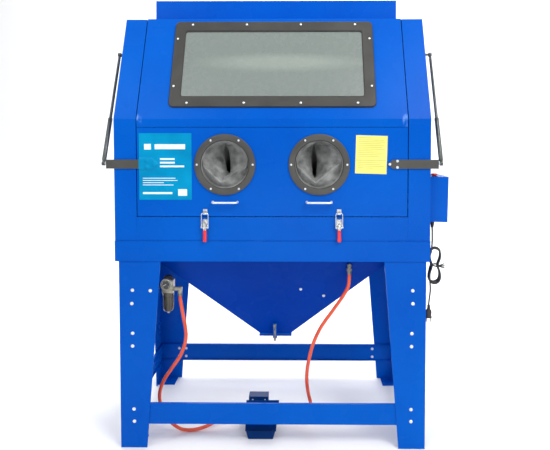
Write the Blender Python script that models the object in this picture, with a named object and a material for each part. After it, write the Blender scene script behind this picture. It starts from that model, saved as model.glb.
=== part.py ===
"""Free-standing abrasive blasting cabinet: a sheet-steel chamber on a four-legged stand.

The front is one top-hinged door with a window and two glove ports, held by two toggle
latches and guided by a telescopic stay on each side. A hopper under the chamber ends in
a hinged drain lid. A filter regulator, a foot pedal and two air hoses feed the gun.

Axes: +X to the right as the operator faces the cabinet, +Y to the rear, +Z up, metres.
Cabinet coordinates start on the floor, at mid-width, in the plane of the door's front.
"""
import math

import bmesh
import bpy
from mathutils import Matrix, Vector

# Shift from cabinet coordinates to the part's frame, whose origin is the floor centre.
SHIFT_X = -0.01475
SHIFT_Y = -0.3237

GAP = 0.0003
SHEET = 0.002

# Chamber and door.
BODY_HALF = 0.610
BODY_DEPTH = 0.617
BODY_BOTTOM = 0.8217
BEND_Z = 1.293
TOP_Z = 1.710
SLOPE_RUN = 0.175
DOOR_HALF = 0.5215
SEAM = 0.003
DOOR_BOTTOM = 0.917
PANEL_SEAM_Z = 1.260
ROOF_FRONT_Y = 0.196
HINGE_Y = SLOPE_RUN + 0.007
HINGE_Z = TOP_Z - 0.005
HINGE_ROD_RADIUS = 0.004

# Window, measured along the slope.
OPENING_HALF_W = 0.3595
OPENING_HALF_H = 0.150
BEZEL_BORDER = 0.0425
WINDOW_UP = 0.0155
GLASS_OVERLAP = 0.010

# Glove ports.
PORT_X = 0.1815
PORT_Z = 1.117
PORT_RADIUS = 0.0935
RING_RADIUS = 0.118

# Straps and telescopic stays.
STRAP_Z = 1.119
STRAP_HALF = 0.0175
STRAP_TIP_X = 0.442
STRAP_SHOULDER_X = 0.464
STRAP_END_X = 0.6395
STAY_X = 0.649
STAY_TOP = (0.200, 1.566)
STAY_FOOT = (-0.0025, 1.122)
STAY_TUBE_LENGTH = 0.192
STAY_TUBE_RADIUS = 0.0085
STAY_ROD_RADIUS = 0.0045

# Toggle latches.
LATCH_X = 0.2585
LATCH_PIVOT = (-0.0125, 0.884)
BAIL_PIVOT = (-0.0125, 0.876)

# Stand.
BAND_BOTTOM = 0.741
BAND_TOP = BODY_BOTTOM - GAP
LEG_OUTER = 0.597
LEG_WALL = 0.003
LEG_TOP = 0.8157
LEG_WIDTH_TOP = 0.169
LEG_WIDTH_FLOOR = 0.103
FOOT_PLATE = 0.085
RAIL_BOTTOM = 0.0935
RAIL_TOP = 0.176
RAIL_FLANGE = 0.010

# Hopper and drain.
HOPPER_TOP_Z = 0.8190
HOPPER_BOTTOM_Z = 0.369
HOPPER_HALF_X = 0.565
HOPPER_HALF_Y = 0.286
HOPPER_CENTRE_Y = 0.310
OUTLET_HALF = 0.0665
LID_HINGE = (0.392, 0.3582)
CLASP_PIVOT = (0.1945, 0.420)

# Pedal.
PEDAL_X = -0.052
PEDAL_HINGE = (0.0715, 0.034)

# Air hoses and the mains cord, each along a short route of chosen points.
HOSE_DIAMETER = 0.014
CORD_DIAMETER = 0.0064
FEED_HOSE_ROUTE = [
    (-0.3750, 0.070, 0.5940), (-0.3740, 0.070, 0.5700), (-0.3640, 0.072, 0.5050),
    (-0.3550, 0.075, 0.4500), (-0.3560, 0.080, 0.4000), (-0.3770, 0.086, 0.3380),
    (-0.4160, 0.090, 0.2790), (-0.4510, 0.092, 0.2250), (-0.4680, 0.094, 0.1700),
    (-0.4620, 0.097, 0.1150), (-0.4320, 0.102, 0.0560), (-0.3900, 0.108, 0.0180),
    (-0.3500, 0.114, 0.0082), (-0.3060, 0.123, 0.0108), (-0.2600, 0.137, 0.0240),
    (-0.2180, 0.165, 0.0440), (-0.1820, 0.194, 0.0570), (-0.1520, 0.200, 0.0590),
]
GUN_HOSE_ROUTE = [
    (0.3040, 0.0600, 0.6860), (0.3040, 0.0600, 0.6600), (0.2990, 0.0610, 0.6240),
    (0.2780, 0.0640, 0.5840), (0.2430, 0.0680, 0.5320), (0.1930, 0.0720, 0.4590),
    (0.1610, 0.0760, 0.3880), (0.1430, 0.0800, 0.3170), (0.1350, 0.0850, 0.2500),
    (0.1400, 0.0920, 0.1850), (0.1520, 0.1020, 0.1280), (0.1560, 0.1200, 0.0830),
    (0.1420, 0.1500, 0.0600), (0.1080, 0.1780, 0.0560), (0.0760, 0.1950, 0.0580),
    (0.0480, 0.2000, 0.0590),
]
CORD_X = 0.638
CORD_Y = 0.085
CORD_DROP_ROUTE = [
    (0.6380, 0.085, 0.8590), (0.6385, 0.085, 0.8400), (0.6390, 0.085, 0.8150),
    (0.6385, 0.085, 0.7870),
]
CORD_TAIL_ROUTE = [
    (0.6370, 0.085, 0.6290), (0.6350, 0.085, 0.6060), (0.6300, 0.085, 0.5800),
    (0.6280, 0.085, 0.5560), (0.6270, 0.085, 0.5460),
]
HANK_HALF_WIDTH = 0.0225
HANK_CENTRE = (0.6485, 0.085, 0.7080)
HANK_HALF_HEIGHT = 0.0785
HANK_HALF_DEPTH = 0.016



def clear_scene():
    for item in list(bpy.data.objects):
        bpy.data.objects.remove(item, do_unlink=True)


def make_material(name, colour, roughness, metallic=0.0, alpha=1.0):
    material = bpy.data.materials.new(name)
    material.use_nodes = True
    shader = material.node_tree.nodes["Principled BSDF"]
    shader.inputs["Base Color"].default_value = (*colour, 1.0)
    shader.inputs["Roughness"].default_value = roughness
    shader.inputs["Metallic"].default_value = metallic
    shader.inputs["Alpha"].default_value = alpha
    material.diffuse_color = (*colour, alpha)
    return material


def make_materials():
    return {
        "blue": make_material("blue paint", (0.004, 0.115, 0.68), 0.22),
        "dark": make_material("grey-brown powder coat", (0.085, 0.085, 0.078), 0.45),
        "steel": make_material("zinc-plated steel", (0.62, 0.63, 0.64), 0.30, 1.0),
        "glass": make_material("frosted glass", (0.55, 0.60, 0.58), 0.25, 0.0, 0.45),
        "sleeve": make_material("rubberised sleeve", (0.11, 0.115, 0.12), 0.38),
        "red": make_material("red plastic", (0.75, 0.02, 0.03), 0.35),
        "hose": make_material("orange-red hose", (0.85, 0.12, 0.05), 0.40),
        "cord": make_material("grey cord jacket", (0.05, 0.05, 0.05), 0.50),
        "black": make_material("black plastic", (0.02, 0.02, 0.02), 0.45),
        "brass": make_material("plated brass", (0.72, 0.66, 0.50), 0.30, 1.0),
        "bowl": make_material("smoked polycarbonate", (0.30, 0.28, 0.22), 0.15, 0.0, 0.7),
        "lamp": make_material("lamp glass", (0.85, 0.86, 0.84), 0.30),
        "alloy": make_material("cast alloy", (0.55, 0.56, 0.56), 0.45, 1.0),
    }


# ---------------------------------------------------------------- mesh helpers


def place_point(axis, first, second, along):
    """Return the point whose two plane coordinates and extrusion coordinate are given."""
    if axis == "X":
        return (along, first, second)
    if axis == "Y":
        return (first, along, second)
    return (first, second, along)


def add_loops(mesh, loops, closed=False):
    """Skin a list of equal loops; cap both ends, or join the last loop to the first."""
    rings = [[mesh.verts.new(point) for point in loop] for loop in loops]
    count = len(rings[0])
    pairs = list(zip(rings, rings[1:]))
    if closed:
        pairs.append((rings[-1], rings[0]))
    for lower, upper in pairs:
        for i in range(count):
            j = (i + 1) % count
            mesh.faces.new((lower[i], lower[j], upper[j], upper[i]))
    if not closed:
        mesh.faces.new(list(reversed(rings[0])))
        mesh.faces.new(rings[-1])
    return mesh


def loops_solid(loops, closed=False):
    return add_loops(bmesh.new(), loops, closed)


def prism(outline, axis, low, high):
    """Extrude a plane outline along an axis from low to high."""
    ends = [[place_point(axis, a, b, along) for a, b in outline] for along in (low, high)]
    return loops_solid(ends)


def box(low, high):
    outline = [(low[0], low[1]), (high[0], low[1]), (high[0], high[1]), (low[0], high[1])]
    return prism(outline, "Z", low[2], high[2])


def circle(radius, sides, phase=0.5):
    """Return a regular polygon whose corners lie on the circle."""
    angles = [2 * math.pi * (i + phase) / sides for i in range(sides)]
    return [(radius * math.cos(angle), radius * math.sin(angle)) for angle in angles]


def turned(stations, axis, centre, sides=16):
    """Make a solid of revolution from (radius, place along the axis) stations."""
    loops = []
    for radius, along in stations:
        ring = [(centre[0] + a, centre[1] + b) for a, b in circle(radius, sides)]
        loops.append([place_point(axis, a, b, along) for a, b in ring])
    return loops_solid(loops)


def rounded_rectangle(half_w, half_h, radius, steps=4):
    """Return the outline of a rectangle with arcs at its corners."""
    points = []
    corners = ((1, 1, 0), (-1, 1, 90), (-1, -1, 180), (1, -1, 270))
    for sign_x, sign_y, start in corners:
        for i in range(steps + 1):
            angle = math.radians(start + 90 * i / steps)
            x = sign_x * (half_w - radius) + radius * math.cos(angle)
            y = sign_y * (half_h - radius) + radius * math.sin(angle)
            points.append((x, y))
    return points


def strip(points, thickness):
    """Return the outline of a bent sheet: a path and its offset to the path's right."""
    shifted = []
    for i, point in enumerate(points):
        before = Vector(points[max(i - 1, 0)])
        after = Vector(points[min(i + 1, len(points) - 1)])
        here = Vector(point)
        normals = []
        for start, end in ((before, here), (here, after)):
            if (end - start).length > 0:
                way = (end - start).normalized()
                normals.append(Vector((way.y, -way.x)))
        mean = sum(normals, Vector((0, 0))).normalized()
        shifted.append(tuple(here + mean * thickness / mean.dot(normals[0])))
    return list(points) + shifted[::-1]


def smooth_route(route, spacing):
    """Read evenly spaced points from a Catmull-Rom curve through the route's points."""
    knots = [Vector(point) for point in route]
    knots = [2 * knots[0] - knots[1], *knots, 2 * knots[-1] - knots[-2]]
    fine = []
    for p0, p1, p2, p3 in zip(knots, knots[1:], knots[2:], knots[3:]):
        for i in range(24):
            t = i / 24
            bend = 2 * p1 + (p2 - p0) * t + (2 * p0 - 5 * p1 + 4 * p2 - p3) * t * t
            fine.append(0.5 * (bend + (3 * p1 - p0 - 3 * p2 + p3) * t ** 3))
    fine.append(knots[-2])
    length = sum((b - a).length for a, b in zip(fine, fine[1:]))
    count = max(2, round(length / spacing))
    points = [fine[0]]
    walked = 0.0
    for a, b in zip(fine, fine[1:]):
        piece = (b - a).length
        while len(points) < count and walked + piece >= length * len(points) / count:
            share = (length * len(points) / count - walked) / piece
            points.append(a.lerp(b, share))
        walked += piece
    points.append(fine[-1])
    return points


def bent_path(corners, radius, steps=4):
    """Round the inner corners of a straight-sided path."""
    corners = [Vector(corner) for corner in corners]
    path = [corners[0]]
    for before, corner, after in zip(corners, corners[1:], corners[2:]):
        start = corner + (before - corner).normalized() * radius
        end = corner + (after - corner).normalized() * radius
        for i in range(steps + 1):
            t = i / steps
            path.append(start.lerp(corner, t).lerp(corner.lerp(end, t), t))
    path.append(corners[-1])
    return path


def swept(path, radius, sides=8):
    """Sweep a circle along a path with frames carried from point to point."""
    path = [Vector(point) for point in path]
    ways = []
    for i in range(len(path)):
        ways.append((path[min(i + 1, len(path) - 1)] - path[max(i - 1, 0)]).normalized())
    side = ways[0].orthogonal().normalized()
    loops = []
    for point, way in zip(path, ways):
        side = (side - way * side.dot(way)).normalized()
        other = way.cross(side)
        loops.append([point + side * a + other * b for a, b in circle(radius, sides)])
    return loops_solid(loops)


def moved(mesh, matrix):
    bmesh.ops.transform(mesh, matrix=matrix, verts=mesh.verts)
    return mesh


def mirrored(mesh, side):
    """Mirror a right-hand solid to the left when side is -1."""
    if side < 0:
        moved(mesh, Matrix.Diagonal((-1, 1, 1, 1)))
    return mesh


# -------------------------------------------------------------- object helpers


def temporary(mesh):
    bmesh.ops.recalc_face_normals(mesh, faces=mesh.faces)
    data = bpy.data.meshes.new("shape")
    mesh.to_mesh(data)
    mesh.free()
    item = bpy.data.objects.new("shape", data)
    bpy.context.scene.collection.objects.link(item)
    return item


def combine(target, tool, operation):
    """Apply an exact Boolean to target and remove the tool."""
    modifier = target.modifiers.new("combine", "BOOLEAN")
    modifier.operation = operation
    modifier.solver = "EXACT"
    modifier.object = tool
    graph = bpy.context.evaluated_depsgraph_get()
    result = bpy.data.meshes.new_from_object(target.evaluated_get(graph))
    target.modifiers.clear()
    target.data = result
    bpy.data.objects.remove(tool, do_unlink=True)


def piece(name, solids, material, pivot=(0, 0, 0), cuts=(), smooth=35):
    """Join overlapping solids, cut them, and name the object with its origin on pivot."""
    if isinstance(solids, bmesh.types.BMesh):
        solids = [solids]
    item = temporary(solids[0])
    for other in solids[1:]:
        combine(item, temporary(other), "UNION")
    for other in cuts:
        combine(item, temporary(other), "DIFFERENCE")
    item.data.transform(Matrix.Translation(-Vector(pivot)))
    item.data.materials.clear()
    item.data.materials.append(material)
    item.data.shade_smooth()
    item.data.set_sharp_from_angle(angle=math.radians(smooth))
    item.name = name
    item.data.name = name
    item.location = pivot
    item.parent = bpy.data.objects["cabinet_origin"]
    return item


def tube_curve(name, route, diameter, spacing, material):
    """Lay a round cord or hose along a smooth route as a bevelled curve."""
    data = bpy.data.curves.new(name, "CURVE")
    data.dimensions = "3D"
    data.bevel_depth = diameter / 2
    data.bevel_resolution = 2
    data.use_fill_caps = True
    points = smooth_route(route, spacing)
    spline = data.splines.new("POLY")
    spline.points.add(len(points) - 1)
    for slot, point in zip(spline.points, points):
        slot.co = (*point, 1.0)
    data.materials.append(material)
    item = bpy.data.objects.new(name, data)
    bpy.context.scene.collection.objects.link(item)
    item.parent = bpy.data.objects["cabinet_origin"]
    return item


# --------------------------------------------------------------------- chamber


def slope_matrix():
    """Return the frame of the sloping window panel: X across, Y up the slope, Z out."""
    up = Vector((0, SLOPE_RUN, TOP_Z - BEND_Z)).normalized()
    out = Vector((1, 0, 0)).cross(up)
    matrix = Matrix.Identity(4)
    matrix.col[1].xyz = up
    matrix.col[2].xyz = out
    matrix.col[3].xyz = Vector((0, SLOPE_RUN / 2, (BEND_Z + TOP_Z) / 2)) + up * WINDOW_UP
    return matrix


def front_profile(bottom, top):
    """Return the front's path from bottom to top, bent where the slope begins."""
    run = SLOPE_RUN * (top - BEND_Z) / (TOP_Z - BEND_Z)
    return [(0, bottom), (0, BEND_Z), (run, top)]


def build_side_panel(side, name, paint):
    top = TOP_Z - SHEET - GAP
    front = front_profile(BODY_BOTTOM, top)
    rear = BODY_DEPTH - SHEET - GAP
    wall = prism(front + [(rear, top), (rear, BODY_BOTTOM)], "X", BODY_HALF - SHEET, BODY_HALF)
    flange = prism(strip(front, SHEET), "X", DOOR_HALF + SEAM, BODY_HALF - SHEET / 2)
    return piece(name, [mirrored(wall, side), mirrored(flange, side)], paint)


def build_roof_back_panel(paint):
    inner_y = BODY_DEPTH - SHEET
    inner_z = TOP_Z - SHEET
    outline = [
        (ROOF_FRONT_Y, inner_z), (inner_y, inner_z), (inner_y, BODY_BOTTOM),
        (BODY_DEPTH, BODY_BOTTOM), (BODY_DEPTH, TOP_Z), (ROOF_FRONT_Y, TOP_Z),
    ]
    sheet = prism(outline, "X", -BODY_HALF, BODY_HALF)
    lamp_window = box((-0.48, 0.37, inner_z - 0.01), (0.48, 0.50, TOP_Z + 0.01))
    return piece("roof_back_panel", sheet, paint, cuts=[lamp_window])


def build_front_sill(paint):
    half = DOOR_HALF + SEAM - GAP
    sill = box((-half, 0, BODY_BOTTOM), (half, SHEET, DOOR_BOTTOM - 0.0025))
    return piece("front_sill", sill, paint)


def build_door_hinge_rod(paint):
    rod = turned([(HINGE_ROD_RADIUS, -0.5205), (HINGE_ROD_RADIUS, 0.5205)], "X", (HINGE_Y, HINGE_Z), 10)
    solids = [rod]
    for x in (-0.40, 0.0, 0.40):
        low = (x - 0.02, HINGE_Y, HINGE_Z - 0.0025)
        high = (x + 0.02, ROOF_FRONT_Y - GAP, HINGE_Z + 0.0025)
        solids.append(box(low, high))
    return piece("door_hinge_rod", solids, paint)


def build_floor_grate(paint):
    """Perforated work floor that rests on the hopper's rim."""
    columns, rows = 12, 6
    half_x, low_y, high_y = 0.592, 0.012, 0.606
    low_z, high_z = HOPPER_TOP_Z + GAP, HOPPER_TOP_Z + 0.015
    bar = 0.012
    xs = []
    for i in range(columns):
        left = -half_x + 2 * half_x * i / columns
        xs += [left, left + bar] if i == 0 else [left - bar / 2, left + bar / 2]
    xs += [half_x - bar, half_x]
    ys = []
    for i in range(rows):
        front = low_y + (high_y - low_y) * i / rows
        ys += [front, front + bar] if i == 0 else [front - bar / 2, front + bar / 2]
    ys += [high_y - bar, high_y]
    mesh = bmesh.new()
    grid = [[mesh.verts.new((x, y, low_z)) for y in ys] for x in xs]
    for i in range(len(xs) - 1):
        for j in range(len(ys) - 1):
            if i % 2 == 0 or j % 2 == 0:
                mesh.faces.new((grid[i][j], grid[i][j + 1], grid[i + 1][j + 1], grid[i + 1][j]))
    grown = bmesh.ops.extrude_face_region(mesh, geom=list(mesh.faces))
    lifted = [item for item in grown["geom"] if isinstance(item, bmesh.types.BMVert)]
    bmesh.ops.translate(mesh, verts=lifted, vec=(0, 0, high_z - low_z))
    return piece("floor_grate", mesh, paint)


# ------------------------------------------------------------------------ door


def door_pivot():
    return (0, HINGE_Y, HINGE_Z)


def build_door_upper(paint):
    sheet = prism(strip(front_profile(PANEL_SEAM_Z + 0.0015, TOP_Z), SHEET), "X", -DOOR_HALF, DOOR_HALF)
    opening = rounded_rectangle(OPENING_HALF_W, OPENING_HALF_H, 0.012, 3)
    cutter = moved(prism(opening, "Z", -0.02, 0.02), slope_matrix())
    return piece("door_upper", sheet, paint, door_pivot(), [cutter])


def build_door_lower(paint):
    sheet = box((-DOOR_HALF, 0, DOOR_BOTTOM), (DOOR_HALF, SHEET, PANEL_SEAM_Z))
    cutters = []
    for side in (-1, 1):
        ends = [(PORT_RADIUS, -0.02), (PORT_RADIUS, 0.02)]
        cutters.append(turned(ends, "Y", (side * PORT_X, PORT_Z), 28))
    return piece("door_lower", sheet, paint, door_pivot(), cutters)


def build_window_bezel(paint):
    """Frame with a rebate that holds the glass against the door."""
    profile = [
        (0.0, 0.0048), (0.0, 0.0068), (0.0012, 0.0078), (BEZEL_BORDER - 0.0015, 0.0078),
        (BEZEL_BORDER, 0.0063), (BEZEL_BORDER, GAP), (0.0125, GAP), (0.0125, 0.0048),
    ]
    loops = []
    for offset, height in profile:
        outline = rounded_rectangle(OPENING_HALF_W + offset, OPENING_HALF_H + offset, 0.010 + offset * 0.2)
        loops.append([(x, y, height) for x, y in outline])
    return piece("window_bezel", moved(loops_solid(loops, True), slope_matrix()), paint, door_pivot())


def build_window_glass(glass):
    half_w = OPENING_HALF_W + GLASS_OVERLAP
    half_h = OPENING_HALF_H + GLASS_OVERLAP
    pane = prism(rounded_rectangle(half_w, half_h, 0.016, 3), "Z", GAP, 0.0045)
    return piece("window_glass", moved(pane, slope_matrix()), glass, door_pivot())


def build_glove_ring(side, name, paint):
    """Flat clamping ring round a glove port, its front edges eased."""
    profile = [
        (PORT_RADIUS, -GAP), (PORT_RADIUS, -0.0050), (PORT_RADIUS + 0.0014, -0.0064),
        (RING_RADIUS - 0.0014, -0.0064), (RING_RADIUS, -0.0050), (RING_RADIUS, -GAP),
    ]
    loops = []
    for radius, y in profile:
        ring = circle(radius, 32)
        loops.append([(side * PORT_X + x, y, PORT_Z + z) for x, z in ring])
    return piece(name, loops_solid(loops, True), paint, door_pivot())


def build_glove_sleeve(side, name, rubber):
    """Tapered sleeve hanging inwards from a glove port, closed at the hand end."""
    outer = [(0.0925, -0.003, 0.0), (0.0900, 0.040, -0.003), (0.0800, 0.110, -0.016),
             (0.0660, 0.190, -0.042), (0.0520, 0.250, -0.072)]
    wall = 0.003
    stations = list(outer)
    stations += [(radius - wall, y - wall * (y > 0.2), z) for radius, y, z in reversed(outer)]
    loops = []
    for radius, y, drop in stations:
        ring = circle(radius, 16)
        loops.append([(side * PORT_X + a, y, PORT_Z + drop + b) for a, b in ring])
    mesh = bmesh.new()
    rings = [[mesh.verts.new(point) for point in loop] for loop in loops]
    count = len(rings[0])
    half = len(outer)
    joints = [(i, i + 1) for i in range(len(rings) - 1) if i != half - 1] + [(len(rings) - 1, 0)]
    for lower, upper in joints:
        for i in range(count):
            j = (i + 1) % count
            mesh.faces.new((rings[lower][i], rings[lower][j], rings[upper][j], rings[upper][i]))
    mesh.faces.new(rings[half - 1])
    mesh.faces.new(rings[half])
    return piece(name, mesh, rubber, door_pivot())


def build_handle(side, name, steel):
    half = 0.049
    corners = [(-half, -GAP, 0.972), (-half, -0.024, 0.972), (half, -0.024, 0.972), (half, -GAP, 0.972)]
    corners = [(side * PORT_X + x, y, z) for x, y, z in corners]
    return piece(name, swept(bent_path(corners, 0.008), 0.004, 8), steel, door_pivot())


def build_strap(side, name, paint):
    """Flat bar bolted to the door that carries the stay's foot past the cabinet's side."""
    low, high = STRAP_Z - STRAP_HALF, STRAP_Z + STRAP_HALF
    outline = [(STRAP_TIP_X, STRAP_Z), (STRAP_SHOULDER_X, low), (STRAP_END_X, low),
               (STRAP_END_X, high), (STRAP_SHOULDER_X, high)]
    solids = [mirrored(prism(outline, "Y", -0.0045, -GAP), side)]
    for x, z in ((0.452, STRAP_Z), (0.481, STRAP_Z - 0.0120), (0.481, STRAP_Z + 0.0120)):
        head = turned([(0.0048, -0.0030), (0.0048, -0.0064), (0.0030, -0.0078)], "Y", (x, z), 8)
        solids.append(mirrored(head, side))
    return piece(name, solids, paint, door_pivot())


# ----------------------------------------------------------------------- stays


def stay_matrix():
    """Return the frame at the stay's foot: Z along the stay, up to its top pivot."""
    foot = Vector((0, *STAY_FOOT))
    way = (Vector((0, *STAY_TOP)) - foot).normalized()
    matrix = Matrix.Identity(4)
    matrix.col[1].xyz = way.cross(Vector((1, 0, 0)))
    matrix.col[2].xyz = way
    matrix.col[3].xyz = foot
    return matrix


def stay_length():
    return (Vector(STAY_TOP) - Vector(STAY_FOOT)).length


def build_stay_rod(side, name, paint):
    """Thin upper rod: its stud turns on the side panel, its lower end slides in the tube."""
    length = stay_length()
    rod = turned([(STAY_ROD_RADIUS, 0.030), (STAY_ROD_RADIUS, length)], "Z", (STAY_X, 0), 10)
    eye = turned([(0.0090, -0.0060 + STAY_X), (0.0090, 0.0060 + STAY_X)], "X", (0, length), 12)
    stud = turned([(0.0050, BODY_HALF + GAP), (0.0050, STAY_X)], "X", (0, length), 10)
    solids = [mirrored(moved(part, stay_matrix()), side) for part in (rod, eye, stud)]
    return piece(name, solids, paint, (side * STAY_X, *STAY_TOP))


def build_stay_tube(side, name, paint):
    """Thick lower tube, bored for the rod, with the stud that sits on the strap's end."""
    barrel = turned([(0.0070, 0.010), (STAY_TUBE_RADIUS, 0.014),
                     (STAY_TUBE_RADIUS, STAY_TUBE_LENGTH)], "Z", (STAY_X, 0), 14)
    eye = turned([(0.0085, -0.0055 + STAY_X), (0.0085, 0.0055 + STAY_X)], "X", (0, 0), 12)
    neck = turned([(0.0050, 0.0), (0.0050, 0.020)], "Z", (STAY_X, 0), 10)
    stud = turned([(0.0045, STRAP_END_X + GAP), (0.0045, STAY_X + 0.0085)], "X", (0, 0), 10)
    bore = turned([(STAY_ROD_RADIUS + GAP, 0.026), (STAY_ROD_RADIUS + GAP, STAY_TUBE_LENGTH + 0.01)],
                  "Z", (STAY_X, 0), 10)
    solids = [mirrored(moved(part, stay_matrix()), side) for part in (barrel, eye, neck, stud)]
    cutter = mirrored(moved(bore, stay_matrix()), side)
    return piece(name, solids, paint, (side * STAY_X, *STAY_FOOT), [cutter])


# --------------------------------------------------------------------- latches


def build_latch_base(side, name, steel):
    x = side * LATCH_X
    plate = box((x - 0.0115, -0.0028, 0.868), (x + 0.0115, -GAP, 0.911))
    ears = []
    for sign in (-1, 1):
        near, far = sorted((x + sign * 0.0090, x + sign * 0.0110))
        ears.append(box((near, LATCH_PIVOT[0] - 0.003, LATCH_PIVOT[1] - 0.004),
                        (far, -0.0020, LATCH_PIVOT[1] + 0.004)))
    return piece(name, [plate, *ears], steel)


def build_latch_lever(side, name, red):
    """Lever with its grip, its own pivot pin and the cross pin that pulls the bail."""
    x = side * LATCH_X
    pivot_y, pivot_z = LATCH_PIVOT
    arm = box((x - 0.0085, pivot_y - 0.0035, 0.858), (x + 0.0085, pivot_y + 0.0035, 0.8885))
    grip = moved(prism(rounded_rectangle(0.0095, 0.023, 0.006, 3), "Y", -0.0175, -0.0080),
                 Matrix.Translation((x, 0, 0.841)))
    cross = turned([(0.0025, x - 0.0115), (0.0025, x + 0.0115)], "X", BAIL_PIVOT, 8)
    return piece(name, [arm, grip, cross], red, (x, pivot_y, pivot_z))


def build_latch_bail(side, name, steel):
    x = side * LATCH_X
    pivot_y, pivot_z = BAIL_PIVOT
    half, top = 0.0143, 0.931
    corners = [(x - half, pivot_y, pivot_z - 0.003), (x - half, pivot_y, top),
               (x + half, pivot_y, top), (x + half, pivot_y, pivot_z - 0.003)]
    return piece(name, swept(bent_path(corners, 0.007), 0.002, 8), steel, (x, pivot_y, pivot_z))


# ----------------------------------------------------------------------- stand


def build_stand_band(paint):
    outer = [(-0.611, -0.0020), (0.611, -0.0020), (0.611, 0.6190), (-0.611, 0.6190)]
    wall = 0.003
    inner = [(x - math.copysign(wall, x), y + (wall if y < 0.3 else -wall)) for x, y in outer]
    loops = []
    for outline, z in ((outer, BAND_BOTTOM), (outer, BAND_TOP), (inner, BAND_TOP), (inner, BAND_BOTTOM)):
        loops.append([(x, y, z) for x, y in outline])
    return piece("stand_band", loops_solid(loops, True), paint)


def build_leg(side, rear, name, paint):
    """Tapered angle-section leg with a small foot plate inside its corner."""
    front_y = 0.0013
    outer_x = LEG_OUTER
    top, floor = LEG_WIDTH_TOP, LEG_WIDTH_FLOOR
    face = prism([(outer_x, 0), (outer_x, LEG_TOP), (outer_x - top, LEG_TOP), (outer_x - floor, 0)],
                 "Y", front_y, front_y + LEG_WALL)
    flank = prism([(front_y, 0), (front_y + floor, 0), (front_y + top, LEG_TOP), (front_y, LEG_TOP)],
                  "X", outer_x - LEG_WALL, outer_x)
    foot = box((outer_x - FOOT_PLATE, front_y, 0), (outer_x, front_y + FOOT_PLATE, LEG_WALL))
    solids = [face, flank, foot]
    for solid in solids:
        mirrored(solid, side)
        if rear:
            moved(solid, Matrix.Translation((0, BODY_DEPTH, 0)) @ Matrix.Diagonal((1, -1, 1, 1)))
    return piece(name, solids, paint)


def channel(outline_side):
    """Return a channel outline (depth, height): web at depth 0, flanges running inwards."""
    wall = LEG_WALL
    low, high = RAIL_BOTTOM, RAIL_TOP
    points = [(0, low), (RAIL_FLANGE, low), (RAIL_FLANGE, low + wall), (wall, low + wall),
              (wall, high - wall), (RAIL_FLANGE, high - wall), (RAIL_FLANGE, high), (0, high)]
    return [(outline_side * depth, z) for depth, z in points]


def build_cross_rail(rear, name, paint):
    web_y = 0.0046
    outline = [(web_y + depth, z) for depth, z in channel(1)]
    rail = prism(outline, "X", -0.5935, 0.5935)
    if rear:
        moved(rail, Matrix.Translation((0, BODY_DEPTH, 0)) @ Matrix.Diagonal((1, -1, 1, 1)))
    return piece(name, rail, paint)


def build_side_rail(side, name, paint):
    outer_x = LEG_OUTER - LEG_WALL - GAP
    outline = [(outer_x + depth, z) for depth, z in channel(-1)]
    start = 0.0046 + RAIL_FLANGE + GAP
    rail = mirrored(prism(outline, "Y", start, BODY_DEPTH - start), side)
    return piece(name, rail, paint)


# ---------------------------------------------------------------------- hopper


def rectangle_loop(half_x, half_y, z):
    centre = HOPPER_CENTRE_Y
    return [(-half_x, centre - half_y, z), (half_x, centre - half_y, z),
            (half_x, centre + half_y, z), (-half_x, centre + half_y, z)]


def build_hopper(paint):
    rim_x, rim_y = 0.600, 0.300
    rim = 0.003
    loops = [
        rectangle_loop(rim_x, rim_y, HOPPER_TOP_Z),
        rectangle_loop(rim_x, rim_y, HOPPER_TOP_Z - rim),
        rectangle_loop(HOPPER_HALF_X, HOPPER_HALF_Y, HOPPER_TOP_Z - rim),
        rectangle_loop(OUTLET_HALF, OUTLET_HALF, HOPPER_BOTTOM_Z),
        rectangle_loop(OUTLET_HALF - rim, OUTLET_HALF - rim, HOPPER_BOTTOM_Z),
        rectangle_loop(HOPPER_HALF_X - rim, HOPPER_HALF_Y - rim, HOPPER_TOP_Z),
    ]
    return piece("hopper", loops_solid(loops, True), paint)


def build_hopper_outlet(paint):
    """Collar under the hopper with the clasp's bracket in front and hinge ear behind."""
    outer, inner = OUTLET_HALF + 0.002, OUTLET_HALF - 0.004
    low, high = 0.3630, HOPPER_BOTTOM_Z - GAP
    collar = loops_solid([rectangle_loop(outer, outer, low), rectangle_loop(outer, outer, high),
                          rectangle_loop(inner, inner, high), rectangle_loop(inner, inner, low)], True)
    front = HOPPER_CENTRE_Y - outer
    back = HOPPER_CENTRE_Y + outer
    ledge = box((-0.009, 0.2020, 0.3632), (0.009, front + 0.002, 0.3680))
    upright = box((-0.009, 0.2020, 0.3632), (0.009, 0.2070, 0.4265))
    ear = box((-0.030, back - 0.002, 0.3632), (0.030, LID_HINGE[0] + 0.006, 0.3680))
    return piece("hopper_outlet", [collar, ledge, upright, ear], paint)


def build_drain_lid(paint):
    half = OUTLET_HALF + 0.0035
    plate = box((-half, HOPPER_CENTRE_Y - half, 0.3575), (half, HOPPER_CENTRE_Y + half, 0.3620))
    knuckle = turned([(0.0045, -0.029), (0.0045, 0.029)], "X", LID_HINGE, 10)
    web = box((-0.029, HOPPER_CENTRE_Y + half - 0.003, 0.3575), (0.029, LID_HINGE[0], 0.3615))
    return piece("drain_lid", [plate, web, knuckle], paint, (0, *LID_HINGE))


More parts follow.
